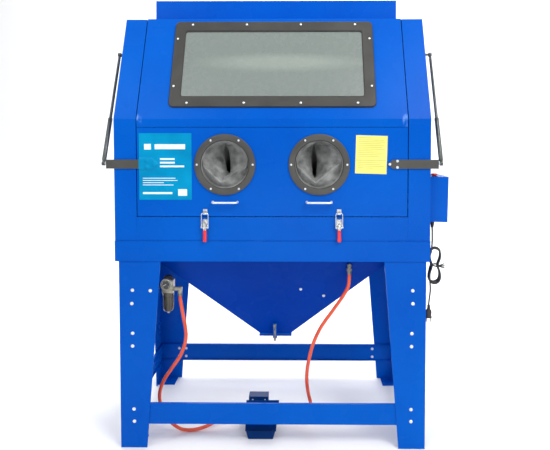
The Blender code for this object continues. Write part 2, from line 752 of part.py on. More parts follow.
def build_drain_clasp(steel):
    """Clasp hung from the outlet's bracket, hooking under the lid's front edge."""
    arm = box((-0.0105, 0.1915, 0.3535), (0.0105, 0.1985, 0.4250))
    hook = box((-0.0105, 0.1915, 0.3535), (0.0105, 0.2450, 0.3571))
    tab = moved(box((-0.0085, -0.0045, -0.0300), (0.0085, -0.0005, 0.0040)),
                Matrix.Translation((0, 0.1925, 0.4100)) @ Matrix.Rotation(math.radians(-20), 4, "X"))
    return piece("drain_clasp", [arm, hook, tab], steel, (0, *CLASP_PIVOT))


# ------------------------------------------------------------ lamp, dust, tools


def build_light_housing(paint):
    half, low_y, high_y, top = 0.530, 0.330, 0.540, 1.823
    shell = prism([(low_y, TOP_Z + GAP), (high_y, TOP_Z + GAP), (high_y, top), (low_y + 0.004, top)],
                  "X", -half, half)
    hollow = box((SHEET - half, low_y + 0.006, TOP_Z - 0.01), (half - SHEET, high_y - SHEET, top - SHEET))
    return piece("light_housing", shell, paint, cuts=[hollow])


def build_lamp_tube(lamp):
    """Fluorescent tube between two holders that hang from the housing's top."""
    y, z, top = 0.435, 1.775, 1.823 - SHEET - GAP
    tube = turned([(0.013, -0.450), (0.013, 0.450)], "X", (y, z), 12)
    holders = [box((x - 0.012, y - 0.016, z - 0.018), (x + 0.012, y + 0.016, top)) for x in (-0.450, 0.450)]
    return piece("lamp_tube", [tube, *holders], lamp)


def build_dust_port(paint):
    """Blanked spigot for a dust collector on the rear panel."""
    face = BODY_DEPTH + GAP
    stations = [(0.075, face), (0.075, face + 0.003), (0.0525, face + 0.0031),
                (0.0525, face + 0.050), (0.056, face + 0.0501), (0.056, face + 0.058)]
    return piece("dust_port", turned(stations, "Y", (0.0, 1.45), 24), paint)


def build_blast_gun(alloy):
    """Suction blast gun lying on the work floor, with its nozzle, grip and trigger."""
    z = HOPPER_TOP_Z + 0.015 + GAP
    barrel = turned([(0.015, 0.11), (0.015, 0.19), (0.011, 0.20), (0.009, 0.26)], "Y", (0.36, z + 0.0152), 12)
    grip = moved(box((0, 0, 0), (0.110, 0.026, 0.024)),
                 Matrix.Translation((0.365, 0.112, z)) @ Matrix.Rotation(math.radians(-12), 4, "Z"))
    spout = turned([(0.008, 0.320), (0.008, 0.352)], "X", (0.165, z + 0.0152), 10)
    return piece("blast_gun", [barrel, grip, spout], alloy)


# ------------------------------------------------------------------ electrical


def build_control_box(paint):
    low_x, high_x, low_y, high_y = BODY_HALF + GAP, 0.684, 0.030, 0.180
    outline = [(low_x, 0.892), (high_x, 0.890), (high_x + 0.003, 1.068), (low_x, 1.068)]
    shell = prism(outline, "Y", low_y, high_y)
    well = turned([(0.0094, 1.056), (0.0094, 1.080)], "Z", (0.640, 0.070), 14)
    return piece("control_box", shell, paint, cuts=[well])


def build_power_switch(red):
    """Mushroom push button over a well in the control box."""
    stations = [(0.0088, 1.0610), (0.0088, 1.0722), (0.0130, 1.0725), (0.0130, 1.0770), (0.0085, 1.0795)]
    return piece("power_switch", turned(stations, "Z", (0.640, 0.070), 14), red, (0.640, 0.070, 1.0725))


def build_mains_gland(plastic):
    top = 0.890
    stations = [(0.0105, top), (0.0105, top - 0.009), (0.0075, top - 0.0095), (0.0045, 0.8593 + 0.0003)]
    return piece("mains_gland", turned(stations, "Z", (CORD_X, CORD_Y), 12), plastic)


def build_mains_cord(jacket, plastic):
    tube_curve("mains_cord_drop", CORD_DROP_ROUTE, CORD_DIAMETER, 0.016, jacket)
    tube_curve("mains_cord_tail", CORD_TAIL_ROUTE, CORD_DIAMETER, 0.016, jacket)
    half_straight = HANK_HALF_HEIGHT - HANK_HALF_WIDTH
    outline = []
    for sign, start in ((1, 0), (-1, 180)):
        for i in range(9):
            angle = math.radians(start + 180 * i / 8)
            outline.append((HANK_HALF_WIDTH * math.cos(angle),
                            sign * half_straight + HANK_HALF_WIDTH * math.sin(angle)))
    hank = prism(outline, "Y", -HANK_HALF_DEPTH, HANK_HALF_DEPTH)
    piece("mains_cord_hank", moved(hank, Matrix.Translation(HANK_CENTRE)), jacket)
    x, y, z = CORD_TAIL_ROUTE[-1]
    neck = turned([(0.0045, z - GAP), (0.0062, z - 0.020)], "Z", (x, y), 10)
    body = moved(prism(rounded_rectangle(0.0125, 0.0085, 0.005, 2), "Z", z - 0.053, z - 0.018),
                 Matrix.Translation((x, y, 0)))
    pins = [turned([(0.0024, z - 0.070), (0.0024, z - 0.050)], "Z", (x + sign * 0.0095, y), 8)
            for sign in (-1, 1)]
    piece("mains_plug", [body, neck, *pins], plastic)


# ------------------------------------------------------------------- pneumatic


def build_regulator(materials):
    """Filter regulator on a bracket behind the front left leg."""
    x, y = -0.422, 0.070
    core = box((x - 0.022, y - 0.020, 0.6000), (x + 0.022, y + 0.020, 0.6500))
    gauge = turned([(0.0200, 0.0240), (0.0200, 0.0440), (0.0060, 0.0450), (0.0060, 0.0550)], "Y",
                   (x + 0.002, 0.6435), 20)
    bracket = box((-0.560, 0.0046, 0.6170), (-0.500, 0.0080, 0.6470))
    arm = box((-0.5040, 0.0046, 0.6170), (-0.5000, 0.0830, 0.6470))
    shelf = box((-0.5040, 0.0550, 0.6170), (x - 0.020, 0.0830, 0.6210))
    elbow = turned([(0.0085, x + 0.020), (0.0085, -0.3665)], "X", (y, 0.6130), 10)
    spigot = turned([(0.0085, 0.5945), (0.0085, 0.6215)], "Z", (-0.3750, y), 10)
    piece("regulator_body", [core, gauge, bracket, arm, shelf, elbow, spigot], materials["alloy"])
    bowl = [(0.0120, 0.5215), (0.0185, 0.5275), (0.0205, 0.5500), (0.0205, 0.5880), (0.0225, 0.5885),
            (0.0225, 0.6000 - GAP)]
    piece("regulator_bowl", turned(bowl, "Z", (x, y), 16), materials["bowl"])
    knob = [(0.0160, 0.6500 + GAP), (0.0180, 0.6530), (0.0180, 0.6630), (0.0150, 0.6665)]
    piece("regulator_knob", turned(knob, "Z", (x, y), 16), materials["black"], (x, y, 0.6500))


def build_bulkhead_fitting(brass):
    """Elbow fitting on the hopper's front wall where the gun hose goes in."""
    x, y, _ = GUN_HOSE_ROUTE[0]
    stem = turned([(0.0080, 0.6865), (0.0080, 0.7160)], "Z", (x, y), 10)
    nut = turned([(0.0120, 0.6900), (0.0120, 0.6990)], "Z", (x, y), 6)
    spigot = turned([(0.0080, y - 0.004), (0.0080, 0.0710)], "Y", (x, 0.7100), 10)
    return piece("bulkhead_fitting", [stem, nut, spigot], brass)


def build_hoses(rubber):
    spacing = HOSE_DIAMETER * 2.2
    tube_curve("feed_hose", FEED_HOSE_ROUTE, HOSE_DIAMETER, spacing, rubber)
    tube_curve("gun_hose", GUN_HOSE_ROUTE, HOSE_DIAMETER, spacing, rubber)


def build_pedal(materials):
    """Foot valve: base tray with a tapered apron, valve block at the far end, tread."""
    x = PEDAL_X
    tray = box((x - 0.050, 0.0640, 0.0), (x + 0.050, 0.2700, 0.0030))
    apron = prism([(x - 0.050, 0.0), (x + 0.050, 0.0), (x + 0.0600, 0.0340), (x - 0.0600, 0.0340)],
                  "Y", 0.0640, 0.0670)
    block = box((x - 0.062, 0.2150, 0.0020), (x + 0.022, 0.2620, 0.1000))
    solids = [tray, apron, block]
    for end_x in (-0.1500, 0.0460):
        low, high = sorted((end_x, x))
        solids.append(turned([(0.0080, low), (0.0080, high)], "X", (0.2000, 0.0590), 10))
    lug = box((x - 0.020, 0.1850, 0.0500), (x + 0.020, 0.2200, 0.0680))
    lug_leg = box((x - 0.008, 0.1900, 0.0020), (x + 0.008, 0.2200, 0.0600))
    piece("pedal_base", [*solids, lug, lug_leg], materials["blue"])
    hinge_y, hinge_z = PEDAL_HINGE
    half_near, half_far = 0.0625, 0.0700
    length = 0.134
    plate = prism([(x - half_near, 0), (x + half_near, 0), (x + half_far, length), (x - half_far, length)],
                  "Z", 0.0, 0.0035)
    lip = box((x - half_near, -0.0030, -0.0060), (x + half_near, 0.0010, 0.0035))
    tilt = Matrix.Translation((0, hinge_y, hinge_z)) @ Matrix.Rotation(math.radians(27), 4, "X")
    solids = [moved(plate, tilt), moved(lip, tilt)]
    piece("pedal_tread", solids, materials["blue"], (x, hinge_y, hinge_z))


# -------------------------------------------------------------------- assembly


def build_door(materials):
    build_door_upper(materials["blue"])
    build_door_lower(materials["blue"])
    build_window_bezel(materials["dark"])
    build_window_glass(materials["glass"])
    for side, word in ((-1, "left"), (1, "right")):
        build_glove_ring(side, f"glove_ring_{word}", materials["dark"])
        build_glove_sleeve(side, f"glove_sleeve_{word}", materials["sleeve"])
        build_handle(side, f"handle_{word}", materials["steel"])
        build_strap(side, f"strap_{word}", materials["dark"])
        build_stay_rod(side, f"stay_rod_{word}", materials["dark"])
        build_stay_tube(side, f"stay_tube_{word}", materials["dark"])
        build_latch_base(side, f"latch_base_{word}", materials["steel"])
        build_latch_lever(side, f"latch_lever_{word}", materials["red"])
        build_latch_bail(side, f"latch_bail_{word}", materials["steel"])


def build_stand(blue):
    build_stand_band(blue)
    build_cross_rail(False, "rail_front", blue)
    build_cross_rail(True, "rail_rear", blue)
    for side, word in ((-1, "left"), (1, "right")):
        build_leg(side, False, f"leg_front_{word}", blue)
        build_leg(side, True, f"leg_rear_{word}", blue)
        build_side_rail(side, f"rail_{word}", blue)


def build_chamber(materials):
    blue = materials["blue"]
    build_side_panel(-1, "side_panel_left", blue)
    build_side_panel(1, "side_panel_right", blue)
    build_roof_back_panel(blue)
    build_front_sill(blue)
    build_door_hinge_rod(materials["steel"])
    build_floor_grate(materials["steel"])
    build_light_housing(blue)
    build_lamp_tube(materials["lamp"])
    build_dust_port(materials["dark"])
    build_blast_gun(materials["alloy"])


def build_hopper_group(materials):
    build_hopper(materials["blue"])
    build_hopper_outlet(materials["blue"])
    build_drain_lid(materials["blue"])
    build_drain_clasp(materials["steel"])


def build_services(materials):
    build_control_box(materials["blue"])
    build_power_switch(materials["red"])
    build_mains_gland(materials["black"])
    build_mains_cord(materials["cord"], materials["black"])
    build_regulator(materials)
    build_bulkhead_fitting(materials["brass"])
    build_hoses(materials["hose"])
    build_pedal(materials)


def main():
    clear_scene()
    origin = bpy.data.objects.new("cabinet_origin", None)
    bpy.context.scene.collection.objects.link(origin)
    origin.location = (SHIFT_X, SHIFT_Y, 0)
    materials = make_materials()
    build_chamber(materials)
    build_door(materials)
    build_stand(materials["blue"])
    build_hopper_group(materials)
    build_services(materials)


main()
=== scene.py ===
"""Looks of a free-standing abrasive blasting cabinet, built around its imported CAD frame.

Lengths are metres. Cabinet coordinates start on the floor, at mid-width, in the plane of
the door's front, with +X to the operator's right, +Y to the rear and +Z up.
"""

import math

import bmesh
import bpy
from mathutils import Matrix, Vector, noise


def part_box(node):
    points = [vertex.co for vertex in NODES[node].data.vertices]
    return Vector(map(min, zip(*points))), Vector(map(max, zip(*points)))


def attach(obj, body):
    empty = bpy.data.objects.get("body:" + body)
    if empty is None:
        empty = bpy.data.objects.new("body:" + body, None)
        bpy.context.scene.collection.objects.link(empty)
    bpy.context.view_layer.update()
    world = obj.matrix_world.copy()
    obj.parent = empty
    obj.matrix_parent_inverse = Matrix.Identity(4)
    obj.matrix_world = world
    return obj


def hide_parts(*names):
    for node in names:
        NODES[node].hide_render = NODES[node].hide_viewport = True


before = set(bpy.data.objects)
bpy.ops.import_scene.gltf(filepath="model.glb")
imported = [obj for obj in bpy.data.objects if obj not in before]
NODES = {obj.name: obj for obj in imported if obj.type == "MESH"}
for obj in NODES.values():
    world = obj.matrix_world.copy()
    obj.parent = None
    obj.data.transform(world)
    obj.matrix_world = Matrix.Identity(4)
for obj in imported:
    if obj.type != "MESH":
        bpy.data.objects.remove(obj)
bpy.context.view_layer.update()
SCENE = bpy.context.scene
SIDES = ((-1, "left"), (1, "right"))

# Driving dimensions, the same as the CAD's.
MID_X = (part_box("side_panel_left")[0][0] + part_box("side_panel_right")[1][0]) / 2
ORIGIN = Vector((MID_X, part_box("door_lower")[0][1], 0.0))
BODY_DEPTH = 0.617
BEND_Z = 1.293
TOP_Z = 1.710
SLOPE_RUN = 0.175
DOOR_HALF = 0.5215
DOOR_BOTTOM = 0.917
PANEL_SEAM_Z = 1.260
WINDOW_UP = 0.0155
OPENING_HALF_W = 0.3595
OPENING_HALF_H = 0.150
BEZEL_BORDER = 0.0425
PORT_X = 0.1815
PORT_Z = 1.117
PORT_RADIUS = 0.0935
RING_RADIUS = 0.118
LATCH_X = 0.2585
PLATE_Y = -0.0017
PIN_Y = -0.0125
PIN_Z = 0.876
STRAP_SCREWS = ((0.452, 1.119), (0.481, 1.107), (0.481, 1.131))
HOSE_DIAMETER = 0.014
CORD_DIAMETER = 0.0064
FRONT = (0, -1, 0)
REAR = (0, 1, 0)

FEED_HOSE_ROUTE = [
    (-0.3750, 0.070, 0.5940), (-0.3740, 0.070, 0.5700), (-0.3640, 0.072, 0.5050),
    (-0.3550, 0.075, 0.4500), (-0.3560, 0.080, 0.4000), (-0.3770, 0.086, 0.3380),
    (-0.4160, 0.090, 0.2790), (-0.4510, 0.092, 0.2250), (-0.4680, 0.094, 0.1700),
    (-0.4620, 0.097, 0.1150), (-0.4320, 0.102, 0.0560), (-0.3900, 0.108, 0.0180),
    (-0.3500, 0.114, 0.0082), (-0.3060, 0.123, 0.0108), (-0.2600, 0.137, 0.0240),
    (-0.2180, 0.165, 0.0440), (-0.1820, 0.194, 0.0570), (-0.1520, 0.200, 0.0590),
]
GUN_HOSE_ROUTE = [
    (0.3040, 0.0600, 0.6860), (0.3040, 0.0600, 0.6600), (0.2990, 0.0610, 0.6240),
    (0.2780, 0.0640, 0.5840), (0.2430, 0.0680, 0.5320), (0.1930, 0.0720, 0.4590),
    (0.1610, 0.0760, 0.3880), (0.1430, 0.0800, 0.3170), (0.1350, 0.0850, 0.2500),
    (0.1400, 0.0920, 0.1850), (0.1520, 0.1020, 0.1280), (0.1560, 0.1200, 0.0830),
    (0.1420, 0.1500, 0.0600), (0.1080, 0.1780, 0.0560), (0.0760, 0.1950, 0.0580),
    (0.0480, 0.2000, 0.0590),
]
CORD_DROP_ROUTE = [
    (0.6380, 0.0850, 0.8590), (0.6385, 0.0850, 0.8430), (0.6388, 0.0850, 0.8270), (0.6388, 0.0846, 0.8120),
    (0.6382, 0.0834, 0.7980), (0.6368, 0.0812, 0.7850), (0.6346, 0.0780, 0.7730), (0.6322, 0.0748, 0.7620),
]
CORD_TAIL_ROUTE = [
    (0.6352, 0.0990, 0.6790), (0.6341, 0.0984, 0.6670), (0.6337, 0.0974, 0.6540), (0.6338, 0.0957, 0.6410),
    (0.6341, 0.0932, 0.6280), (0.6342, 0.0903, 0.6150), (0.6336, 0.0876, 0.6020), (0.6320, 0.0858, 0.5890),
    (0.6300, 0.0851, 0.5750), (0.6282, 0.0850, 0.5600), (0.6270, 0.0850, 0.5460),
]
HANK_CENTRE = Vector((0.6485, 0.085, 0.7080))


def at(x, y, z):
    """Turn cabinet coordinates into the part's frame."""
    return ORIGIN + Vector((x, y, z))


# ------------------------------------------------------------------- materials


def new_material(name):
    material = bpy.data.materials.new(name)
    material.use_nodes = True
    return material, material.node_tree, material.node_tree.nodes["Principled BSDF"]


def mixed_colour(tree, factor, first, second):
    """Return a colour socket that blends two colours by a factor socket."""
    mix = tree.nodes.new("ShaderNodeMix")
    mix.data_type = "RGBA"
    tree.links.new(factor, mix.inputs["Factor"])
    for socket, value in ((mix.inputs[6], first), (mix.inputs[7], second)):
        if isinstance(value, bpy.types.NodeSocket):
            tree.links.new(value, socket)
        else:
            socket.default_value = (*value, 1.0)
    return mix.outputs[2]


def ramp(tree, source, low, high, out_low=0.0, out_high=1.0):
    """Return a socket that maps source from low..high to out_low..out_high, clamped."""
    node = tree.nodes.new("ShaderNodeMapRange")
    tree.links.new(source, node.inputs["Value"])
    node.inputs["From Min"].default_value = low
    node.inputs["From Max"].default_value = high
    node.inputs["To Min"].default_value = out_low
    node.inputs["To Max"].default_value = out_high
    return node.outputs["Result"]


def noise_socket(tree, scale, detail=3.0, stretch=(1, 1, 1)):
    coordinates = tree.nodes.new("ShaderNodeTexCoord")
    mapping = tree.nodes.new("ShaderNodeMapping")
    mapping.inputs["Scale"].default_value = stretch
    texture = tree.nodes.new("ShaderNodeTexNoise")
    texture.inputs["Scale"].default_value = scale
    texture.inputs["Detail"].default_value = detail
    tree.links.new(coordinates.outputs["Object"], mapping.inputs["Vector"])
    tree.links.new(mapping.outputs["Vector"], texture.inputs["Vector"])
    return texture.outputs["Fac"]


def spot_socket(tree, centre, radius, stretch=(1, 1, 1)):
    """Return 1 at a point in object space, falling to 0 at the radius."""
    coordinates = tree.nodes.new("ShaderNodeTexCoord")
    shift = tree.nodes.new("ShaderNodeVectorMath")
    shift.operation = "SUBTRACT"
    shift.inputs[1].default_value = centre
    scale = tree.nodes.new("ShaderNodeVectorMath")
    scale.operation = "MULTIPLY"
    scale.inputs[1].default_value = stretch
    length = tree.nodes.new("ShaderNodeVectorMath")
    length.operation = "LENGTH"
    tree.links.new(coordinates.outputs["Object"], shift.inputs[0])
    tree.links.new(shift.outputs["Vector"], scale.inputs[0])
    tree.links.new(scale.outputs["Vector"], length.inputs[0])
    return ramp(tree, length.outputs["Value"], radius * 0.4, radius, 1.0, 0.0)


def set_bump(tree, shader, height, distance, strength=1.0, edge_radius=0.0):
    """Add fine relief, and rounded edges where edge_radius is given."""
    bump = tree.nodes.new("ShaderNodeBump")
    bump.inputs["Strength"].default_value = strength
    bump.inputs["Distance"].default_value = distance
    tree.links.new(height, bump.inputs["Height"])
    if edge_radius:
        bevel = tree.nodes.new("ShaderNodeBevel")
        bevel.samples = 4
        bevel.inputs["Radius"].default_value = edge_radius
        tree.links.new(bevel.outputs["Normal"], bump.inputs["Normal"])
    tree.links.new(bump.outputs["Normal"], shader.inputs["Normal"])


def surface(name, dark, light, roughness, metallic=0.0, mottle=18.0, grain=900.0, relief=0.00004,
            edge=0.0, coat=0.0, specular=0.5):
    """Make a two-tone procedural finish with fine relief and uneven gloss."""
    material, tree, shader = new_material(name)
    broad = noise_socket(tree, mottle, 4.0)
    tree.links.new(mixed_colour(tree, ramp(tree, broad, 0.3, 0.7), dark, light), shader.inputs["Base Color"])
    gloss = ramp(tree, noise_socket(tree, mottle * 3), 0.3, 0.7, roughness * 0.85, roughness * 1.2)
    tree.links.new(gloss, shader.inputs["Roughness"])
    shader.inputs["Metallic"].default_value = metallic
    shader.inputs["Specular IOR Level"].default_value = specular
    shader.inputs["Coat Weight"].default_value = coat
    shader.inputs["Coat Roughness"].default_value = 0.06
    set_bump(tree, shader, noise_socket(tree, grain, 2.0), relief, 1.0, edge)
    return material


def paint_material(name, dark, light, weld_spots=()):
    """Glossy blue powder coat with a light orange-peel, and scuffed weld marks if any."""
    material = surface(name, dark, light, 0.26, mottle=2.2, grain=420.0, relief=0.00006,
                       edge=0.0011, specular=0.06)
    tree = material.node_tree
    shader = tree.nodes["Principled BSDF"]
    for spot in weld_spots:
        mask = spot_socket(tree, spot, 0.020, (1.25, 1.0, 0.70))
        worn = tree.nodes.new("ShaderNodeMath")
        worn.operation = "MULTIPLY"
        tree.links.new(mask, worn.inputs[0])
        tree.links.new(ramp(tree, noise_socket(tree, 45.0, 3.0, (1.0, 1.0, 0.5)), 0.40, 0.62), worn.inputs[1])
        before = shader.inputs["Base Color"].links[0].from_socket
        tree.links.new(mixed_colour(tree, worn.outputs[0], before, (0.20, 0.38, 0.78)),
                       shader.inputs["Base Color"])
    return material


def cloth_material(name):
    """Rubberised glove cloth: fine weave under a dull, greasy sheen."""
    material, tree, shader = new_material(name)
    tone = ramp(tree, noise_socket(tree, 26.0, 5.0), 0.32, 0.68)
    tree.links.new(mixed_colour(tree, tone, (0.064, 0.068, 0.067), (0.285, 0.293, 0.290)),
                   shader.inputs["Base Color"])
    tree.links.new(ramp(tree, noise_socket(tree, 60.0), 0.3, 0.7, 0.34, 0.52), shader.inputs["Roughness"])
    shader.inputs["Sheen Weight"].default_value = 0.20
    shader.inputs["Coat Weight"].default_value = 0.20
    shader.inputs["Coat Roughness"].default_value = 0.30
    coordinates = tree.nodes.new("ShaderNodeTexCoord")
    weave = tree.nodes.new("ShaderNodeTexBrick")
    weave.inputs["Scale"].default_value = 320.0
    weave.inputs["Color1"].default_value = (0.9, 0.9, 0.9, 1.0)
    weave.inputs["Color2"].default_value = (0.6, 0.6, 0.6, 1.0)
    weave.inputs["Mortar"].default_value = (0.1, 0.1, 0.1, 1.0)
    tree.links.new(coordinates.outputs["Object"], weave.inputs["Vector"])
    grey = tree.nodes.new("ShaderNodeRGBToBW")
    tree.links.new(weave.outputs["Color"], grey.inputs["Color"])
    set_bump(tree, shader, grey.outputs["Val"], 0.00018, 0.6)
    return material


def glass_material(name):
    """Frosted safety glass with a painted reflection: a faint paler horizontal band across its middle."""
    material, tree, shader = new_material(name)
    # painted reflection: a paler horizontal band across the middle of the glass
    reflection_band = spot_socket(tree, at(0.03, 0.090, 1.520), 0.30, (0.80, 1.0, 7.0))
    reflected_band_colour = mixed_colour(tree, reflection_band, (0.175, 0.204, 0.191), (0.250, 0.286, 0.261))
    tone = ramp(tree, noise_socket(tree, 1.4, 1.0, (0.4, 1, 3.0)), 0.3, 0.7, 0.0, 0.30)
    tree.links.new(mixed_colour(tree, tone, reflected_band_colour, (0.225, 0.254, 0.241)), shader.inputs["Base Color"])
    tree.links.new(ramp(tree, noise_socket(tree, 40.0), 0.3, 0.7, 0.24, 0.30), shader.inputs["Roughness"])
    shader.inputs["IOR"].default_value = 1.5
    shader.inputs["Specular IOR Level"].default_value = 0.35
    shader.inputs["Coat Weight"].default_value = 0.3
    shader.inputs["Coat Roughness"].default_value = 0.10
    set_bump(tree, shader, noise_socket(tree, 300.0, 2.0), 0.00001, 0.3)
    return material


def bowl_material(name):
    """Smoked clear plastic that lets a little light through."""
    material = surface(name, (0.045, 0.038, 0.024), (0.120, 0.102, 0.068), 0.18, mottle=40, relief=0.00002,
                       coat=0.4)
    material.node_tree.nodes["Principled BSDF"].inputs["Transmission Weight"].default_value = 0.35
    return material


def stage_material(name, value):
    """Matt white paper with a barely visible tone."""
    material, tree, shader = new_material(name)
    tone = ramp(tree, noise_socket(tree, 0.7), 0.3, 0.7)
    tree.links.new(mixed_colour(tree, tone, (value,) * 3, (value * 1.01,) * 3), shader.inputs["Base Color"])
    shader.inputs["Roughness"].default_value = 0.9
    shader.inputs["Specular IOR Level"].default_value = 0.1
    return material


BLUE_DEEP = (0.0002, 0.078, 0.455)
BLUE_PALE = (0.0004, 0.102, 0.525)
WELDS = [at(side * 0.5145, 0.0, BEND_Z - 0.004) for side in (-1, 1)]
BLUE = paint_material("blue_powder_coat", BLUE_DEEP, BLUE_PALE)
# darker blue as painted shade on the hopper, drain lid and tread ribs under the body
BLUE_SHADED = paint_material("blue_painted_shade_coat", (0.0001, 0.038, 0.340), (0.0002, 0.052, 0.410))
# dark blue as painted shade on the pedal under the cabinet
PEDAL_SHADE_BLUE = paint_material("pedal_painted_shade_coat", (0.0010, 0.022, 0.110), (0.0020, 0.034, 0.165))
BLUE_DOOR = paint_material("blue_door_coat", BLUE_DEEP, BLUE_PALE, WELDS)
BEZEL = surface("bezel_coat", (0.036, 0.035, 0.033), (0.054, 0.053, 0.049), 0.48, mottle=9, grain=1300,
                relief=0.00008, edge=0.0008, specular=0.3)
DARK = surface("grey_brown_coat", (0.044, 0.044, 0.041), (0.067, 0.067, 0.062), 0.46, mottle=9, grain=1300,
               relief=0.00008, edge=0.0008)
LACQUER = surface("dark_green_grey_lacquer", (0.030, 0.040, 0.038), (0.060, 0.074, 0.070), 0.24, mottle=24,
                  relief=0.00003, coat=0.3)
ZINC = surface("bright_zinc", (0.56, 0.58, 0.59), (0.84, 0.85, 0.85), 0.28, 0.9, mottle=60, relief=0.00002,
               edge=0.0004)
SCREW = surface("screw_zinc", (0.70, 0.74, 0.76), (0.90, 0.92, 0.93), 0.34, 0.5, mottle=120, relief=0.00002)
GLASS = glass_material("frosted_glass")
CLOTH = cloth_material("rubberised_cloth")
RED = surface("red_grip", (0.66, 0.012, 0.022), (0.86, 0.030, 0.045), 0.34, mottle=50, relief=0.00005,
              coat=0.15)
HOSE = surface("orange_red_hose", (0.66, 0.060, 0.018), (0.84, 0.105, 0.036), 0.38, mottle=30, grain=700,
               relief=0.00006, coat=0.15)
JACKET = surface("cord_jacket", (0.020, 0.020, 0.021), (0.042, 0.042, 0.044), 0.48, mottle=50,
                 relief=0.00005)
BLACK = surface("black_moulding", (0.010, 0.010, 0.011), (0.022, 0.022, 0.023), 0.42, mottle=40,
                relief=0.00006)
PLUG = surface("brown_grey_moulding", (0.030, 0.022, 0.020), (0.055, 0.042, 0.038), 0.50, mottle=45,
               relief=0.00006)
BRASS = surface("nickel_brass", (0.42, 0.38, 0.30), (0.66, 0.62, 0.52), 0.28, 1.0, mottle=90, relief=0.00003)
FITTING = surface("worn_nickel", (0.16, 0.15, 0.13), (0.36, 0.34, 0.30), 0.34, 1.0, mottle=110,
                  relief=0.00004)
ALLOY = surface("cast_alloy", (0.20, 0.19, 0.15), (0.46, 0.44, 0.36), 0.36, 0.7, mottle=55, grain=1100,
                relief=0.00010, edge=0.0006)
BOWL = bowl_material("smoked_bowl")
DIAL = surface("dial_face", (0.012, 0.012, 0.013), (0.020, 0.020, 0.021), 0.30, mottle=30,
               relief=0.00001, coat=0.6)
RUBBER = surface("black_seal", (0.008, 0.008, 0.008), (0.018, 0.018, 0.018), 0.62, mottle=70, relief=0.00008)
LAMP = surface("lamp_white", (0.72, 0.73, 0.71), (0.84, 0.85, 0.83), 0.30, mottle=12, relief=0.00002)
CYAN = surface("cyan_film", (0.0005, 0.215, 0.440), (0.0010, 0.300, 0.560), 0.34, mottle=9, relief=0.00002,
               specular=0.06)
PALE = surface("pale_print", (0.70, 0.84, 0.92), (0.82, 0.92, 0.97), 0.35, mottle=40, relief=0.00001)
YELLOW = surface("yellow_film", (0.74, 0.72, 0.17), (0.83, 0.80, 0.23), 0.34, mottle=14, relief=0.00002)
OCHRE = surface("ochre_print", (0.40, 0.35, 0.09), (0.50, 0.44, 0.12), 0.40, mottle=40, relief=0.00001)

# The other nodes that stay in view are painted blue.
NODE_FINISH = {
    "window_bezel": BEZEL, "window_glass": GLASS, "floor_grate": ZINC, "dust_port": DARK,
    "blast_gun": ALLOY, "lamp_tube": LAMP, "regulator_body": ALLOY, "bulkhead_fitting": FITTING,
    "power_switch": RED, "door_upper": BLUE_DOOR, "door_lower": BLUE_DOOR, "strap_left": DARK,
    "strap_right": DARK, "hopper": BLUE_SHADED, "drain_lid": BLUE_SHADED, "pedal_tread": PEDAL_SHADE_BLUE,
    "pedal_base": PEDAL_SHADE_BLUE,
}


def dress_nodes():
    """Give every carried-over CAD node its finish."""
    for name, item in NODES.items():
        item.data.materials.clear()
        item.data.materials.append(NODE_FINISH.get(name, BLUE))


# ---------------------------------------------------------------- mesh helpers


def turns(count):
    """Return evenly spaced angles round a full circle."""
    return [2 * math.pi * i / count for i in range(count)]


def ease(t):
    """Return t held between 0 and 1, with a soft start and a soft end."""
    t = min(1.0, max(0.0, t))
    return t * t * (3 - 2 * t)


def towards(point, normal):
    """Return the frame at a point whose Z runs along the normal."""
    turn = Vector(normal).to_track_quat("Z", "Y").to_matrix().to_4x4()
    return Matrix.Translation(point) @ turn


def rounded_rectangle(half_w, half_h, radius, steps=5):
    points = []
    for sign_x, sign_y, start in ((1, 1, 0), (-1, 1, 90), (-1, -1, 180), (1, -1, 270)):
        for i in range(steps + 1):
            angle = math.radians(start + 90 * i / steps)
            points.append((sign_x * (half_w - radius) + radius * math.cos(angle),
                           sign_y * (half_h - radius) + radius * math.sin(angle)))
    return points


def bow(half, start, end, bend, steps):
    """Return the (across, along) points of a U-shaped bar, from foot to foot."""
    points = []
    for sign in (-1, 1):
        leg = [(sign * half, start), (sign * half, end - bend)]
        for i in range(1, steps + 1):
            angle = math.radians(90 * i / steps)
            leg.append((sign * (half - bend + bend * math.cos(angle)), end - bend + bend * math.sin(angle)))
        points += leg if sign < 0 else list(reversed(leg))
    return points


def add_box(mesh, low, high, matrix=Matrix()):
    """Add a box between two corners, placed by a matrix."""
    corners = [matrix @ Vector((x, y, z)) for x in (low[0], high[0]) for y in (low[1], high[1])
               for z in (low[2], high[2])]
    verts = [mesh.verts.new(corner) for corner in corners]
    for face in ((0, 1, 3, 2), (4, 6, 7, 5), (0, 4, 5, 1), (2, 3, 7, 6), (0, 2, 6, 4), (1, 5, 7, 3)):
        mesh.faces.new([verts[i] for i in face])


def add_loft(mesh, loops, closed=False, open_start=False):
    """Skin equal loops and cap the ends, or join the last loop to the first."""
    rings = [[mesh.verts.new(point) for point in loop] for loop in loops]
    pairs = list(zip(rings, rings[1:]))
    if closed:
        pairs.append((rings[-1], rings[0]))
    count = len(rings[0])
    for lower, upper in pairs:
        for i in range(count):
            j = (i + 1) % count
            mesh.faces.new((lower[i], lower[j], upper[j], upper[i]))
    if not closed:
        if not open_start:
            mesh.faces.new(list(reversed(rings[0])))
        mesh.faces.new(rings[-1])


def add_turned(mesh, stations, matrix, sides):
    """Add a closed solid of revolution about Z from (radius, height) stations."""
    add_loft(mesh, [[matrix @ Vector((radius * math.cos(angle), radius * math.sin(angle), height))
                     for angle in turns(sides)] for radius, height in stations])


def place(item, body, replaces):
    """Link a piece, let it ride on a body, and hide the CAD nodes that it replaces."""
    SCENE.collection.objects.link(item)
    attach(item, body)
    if replaces:
        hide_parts(*replaces)
    return item


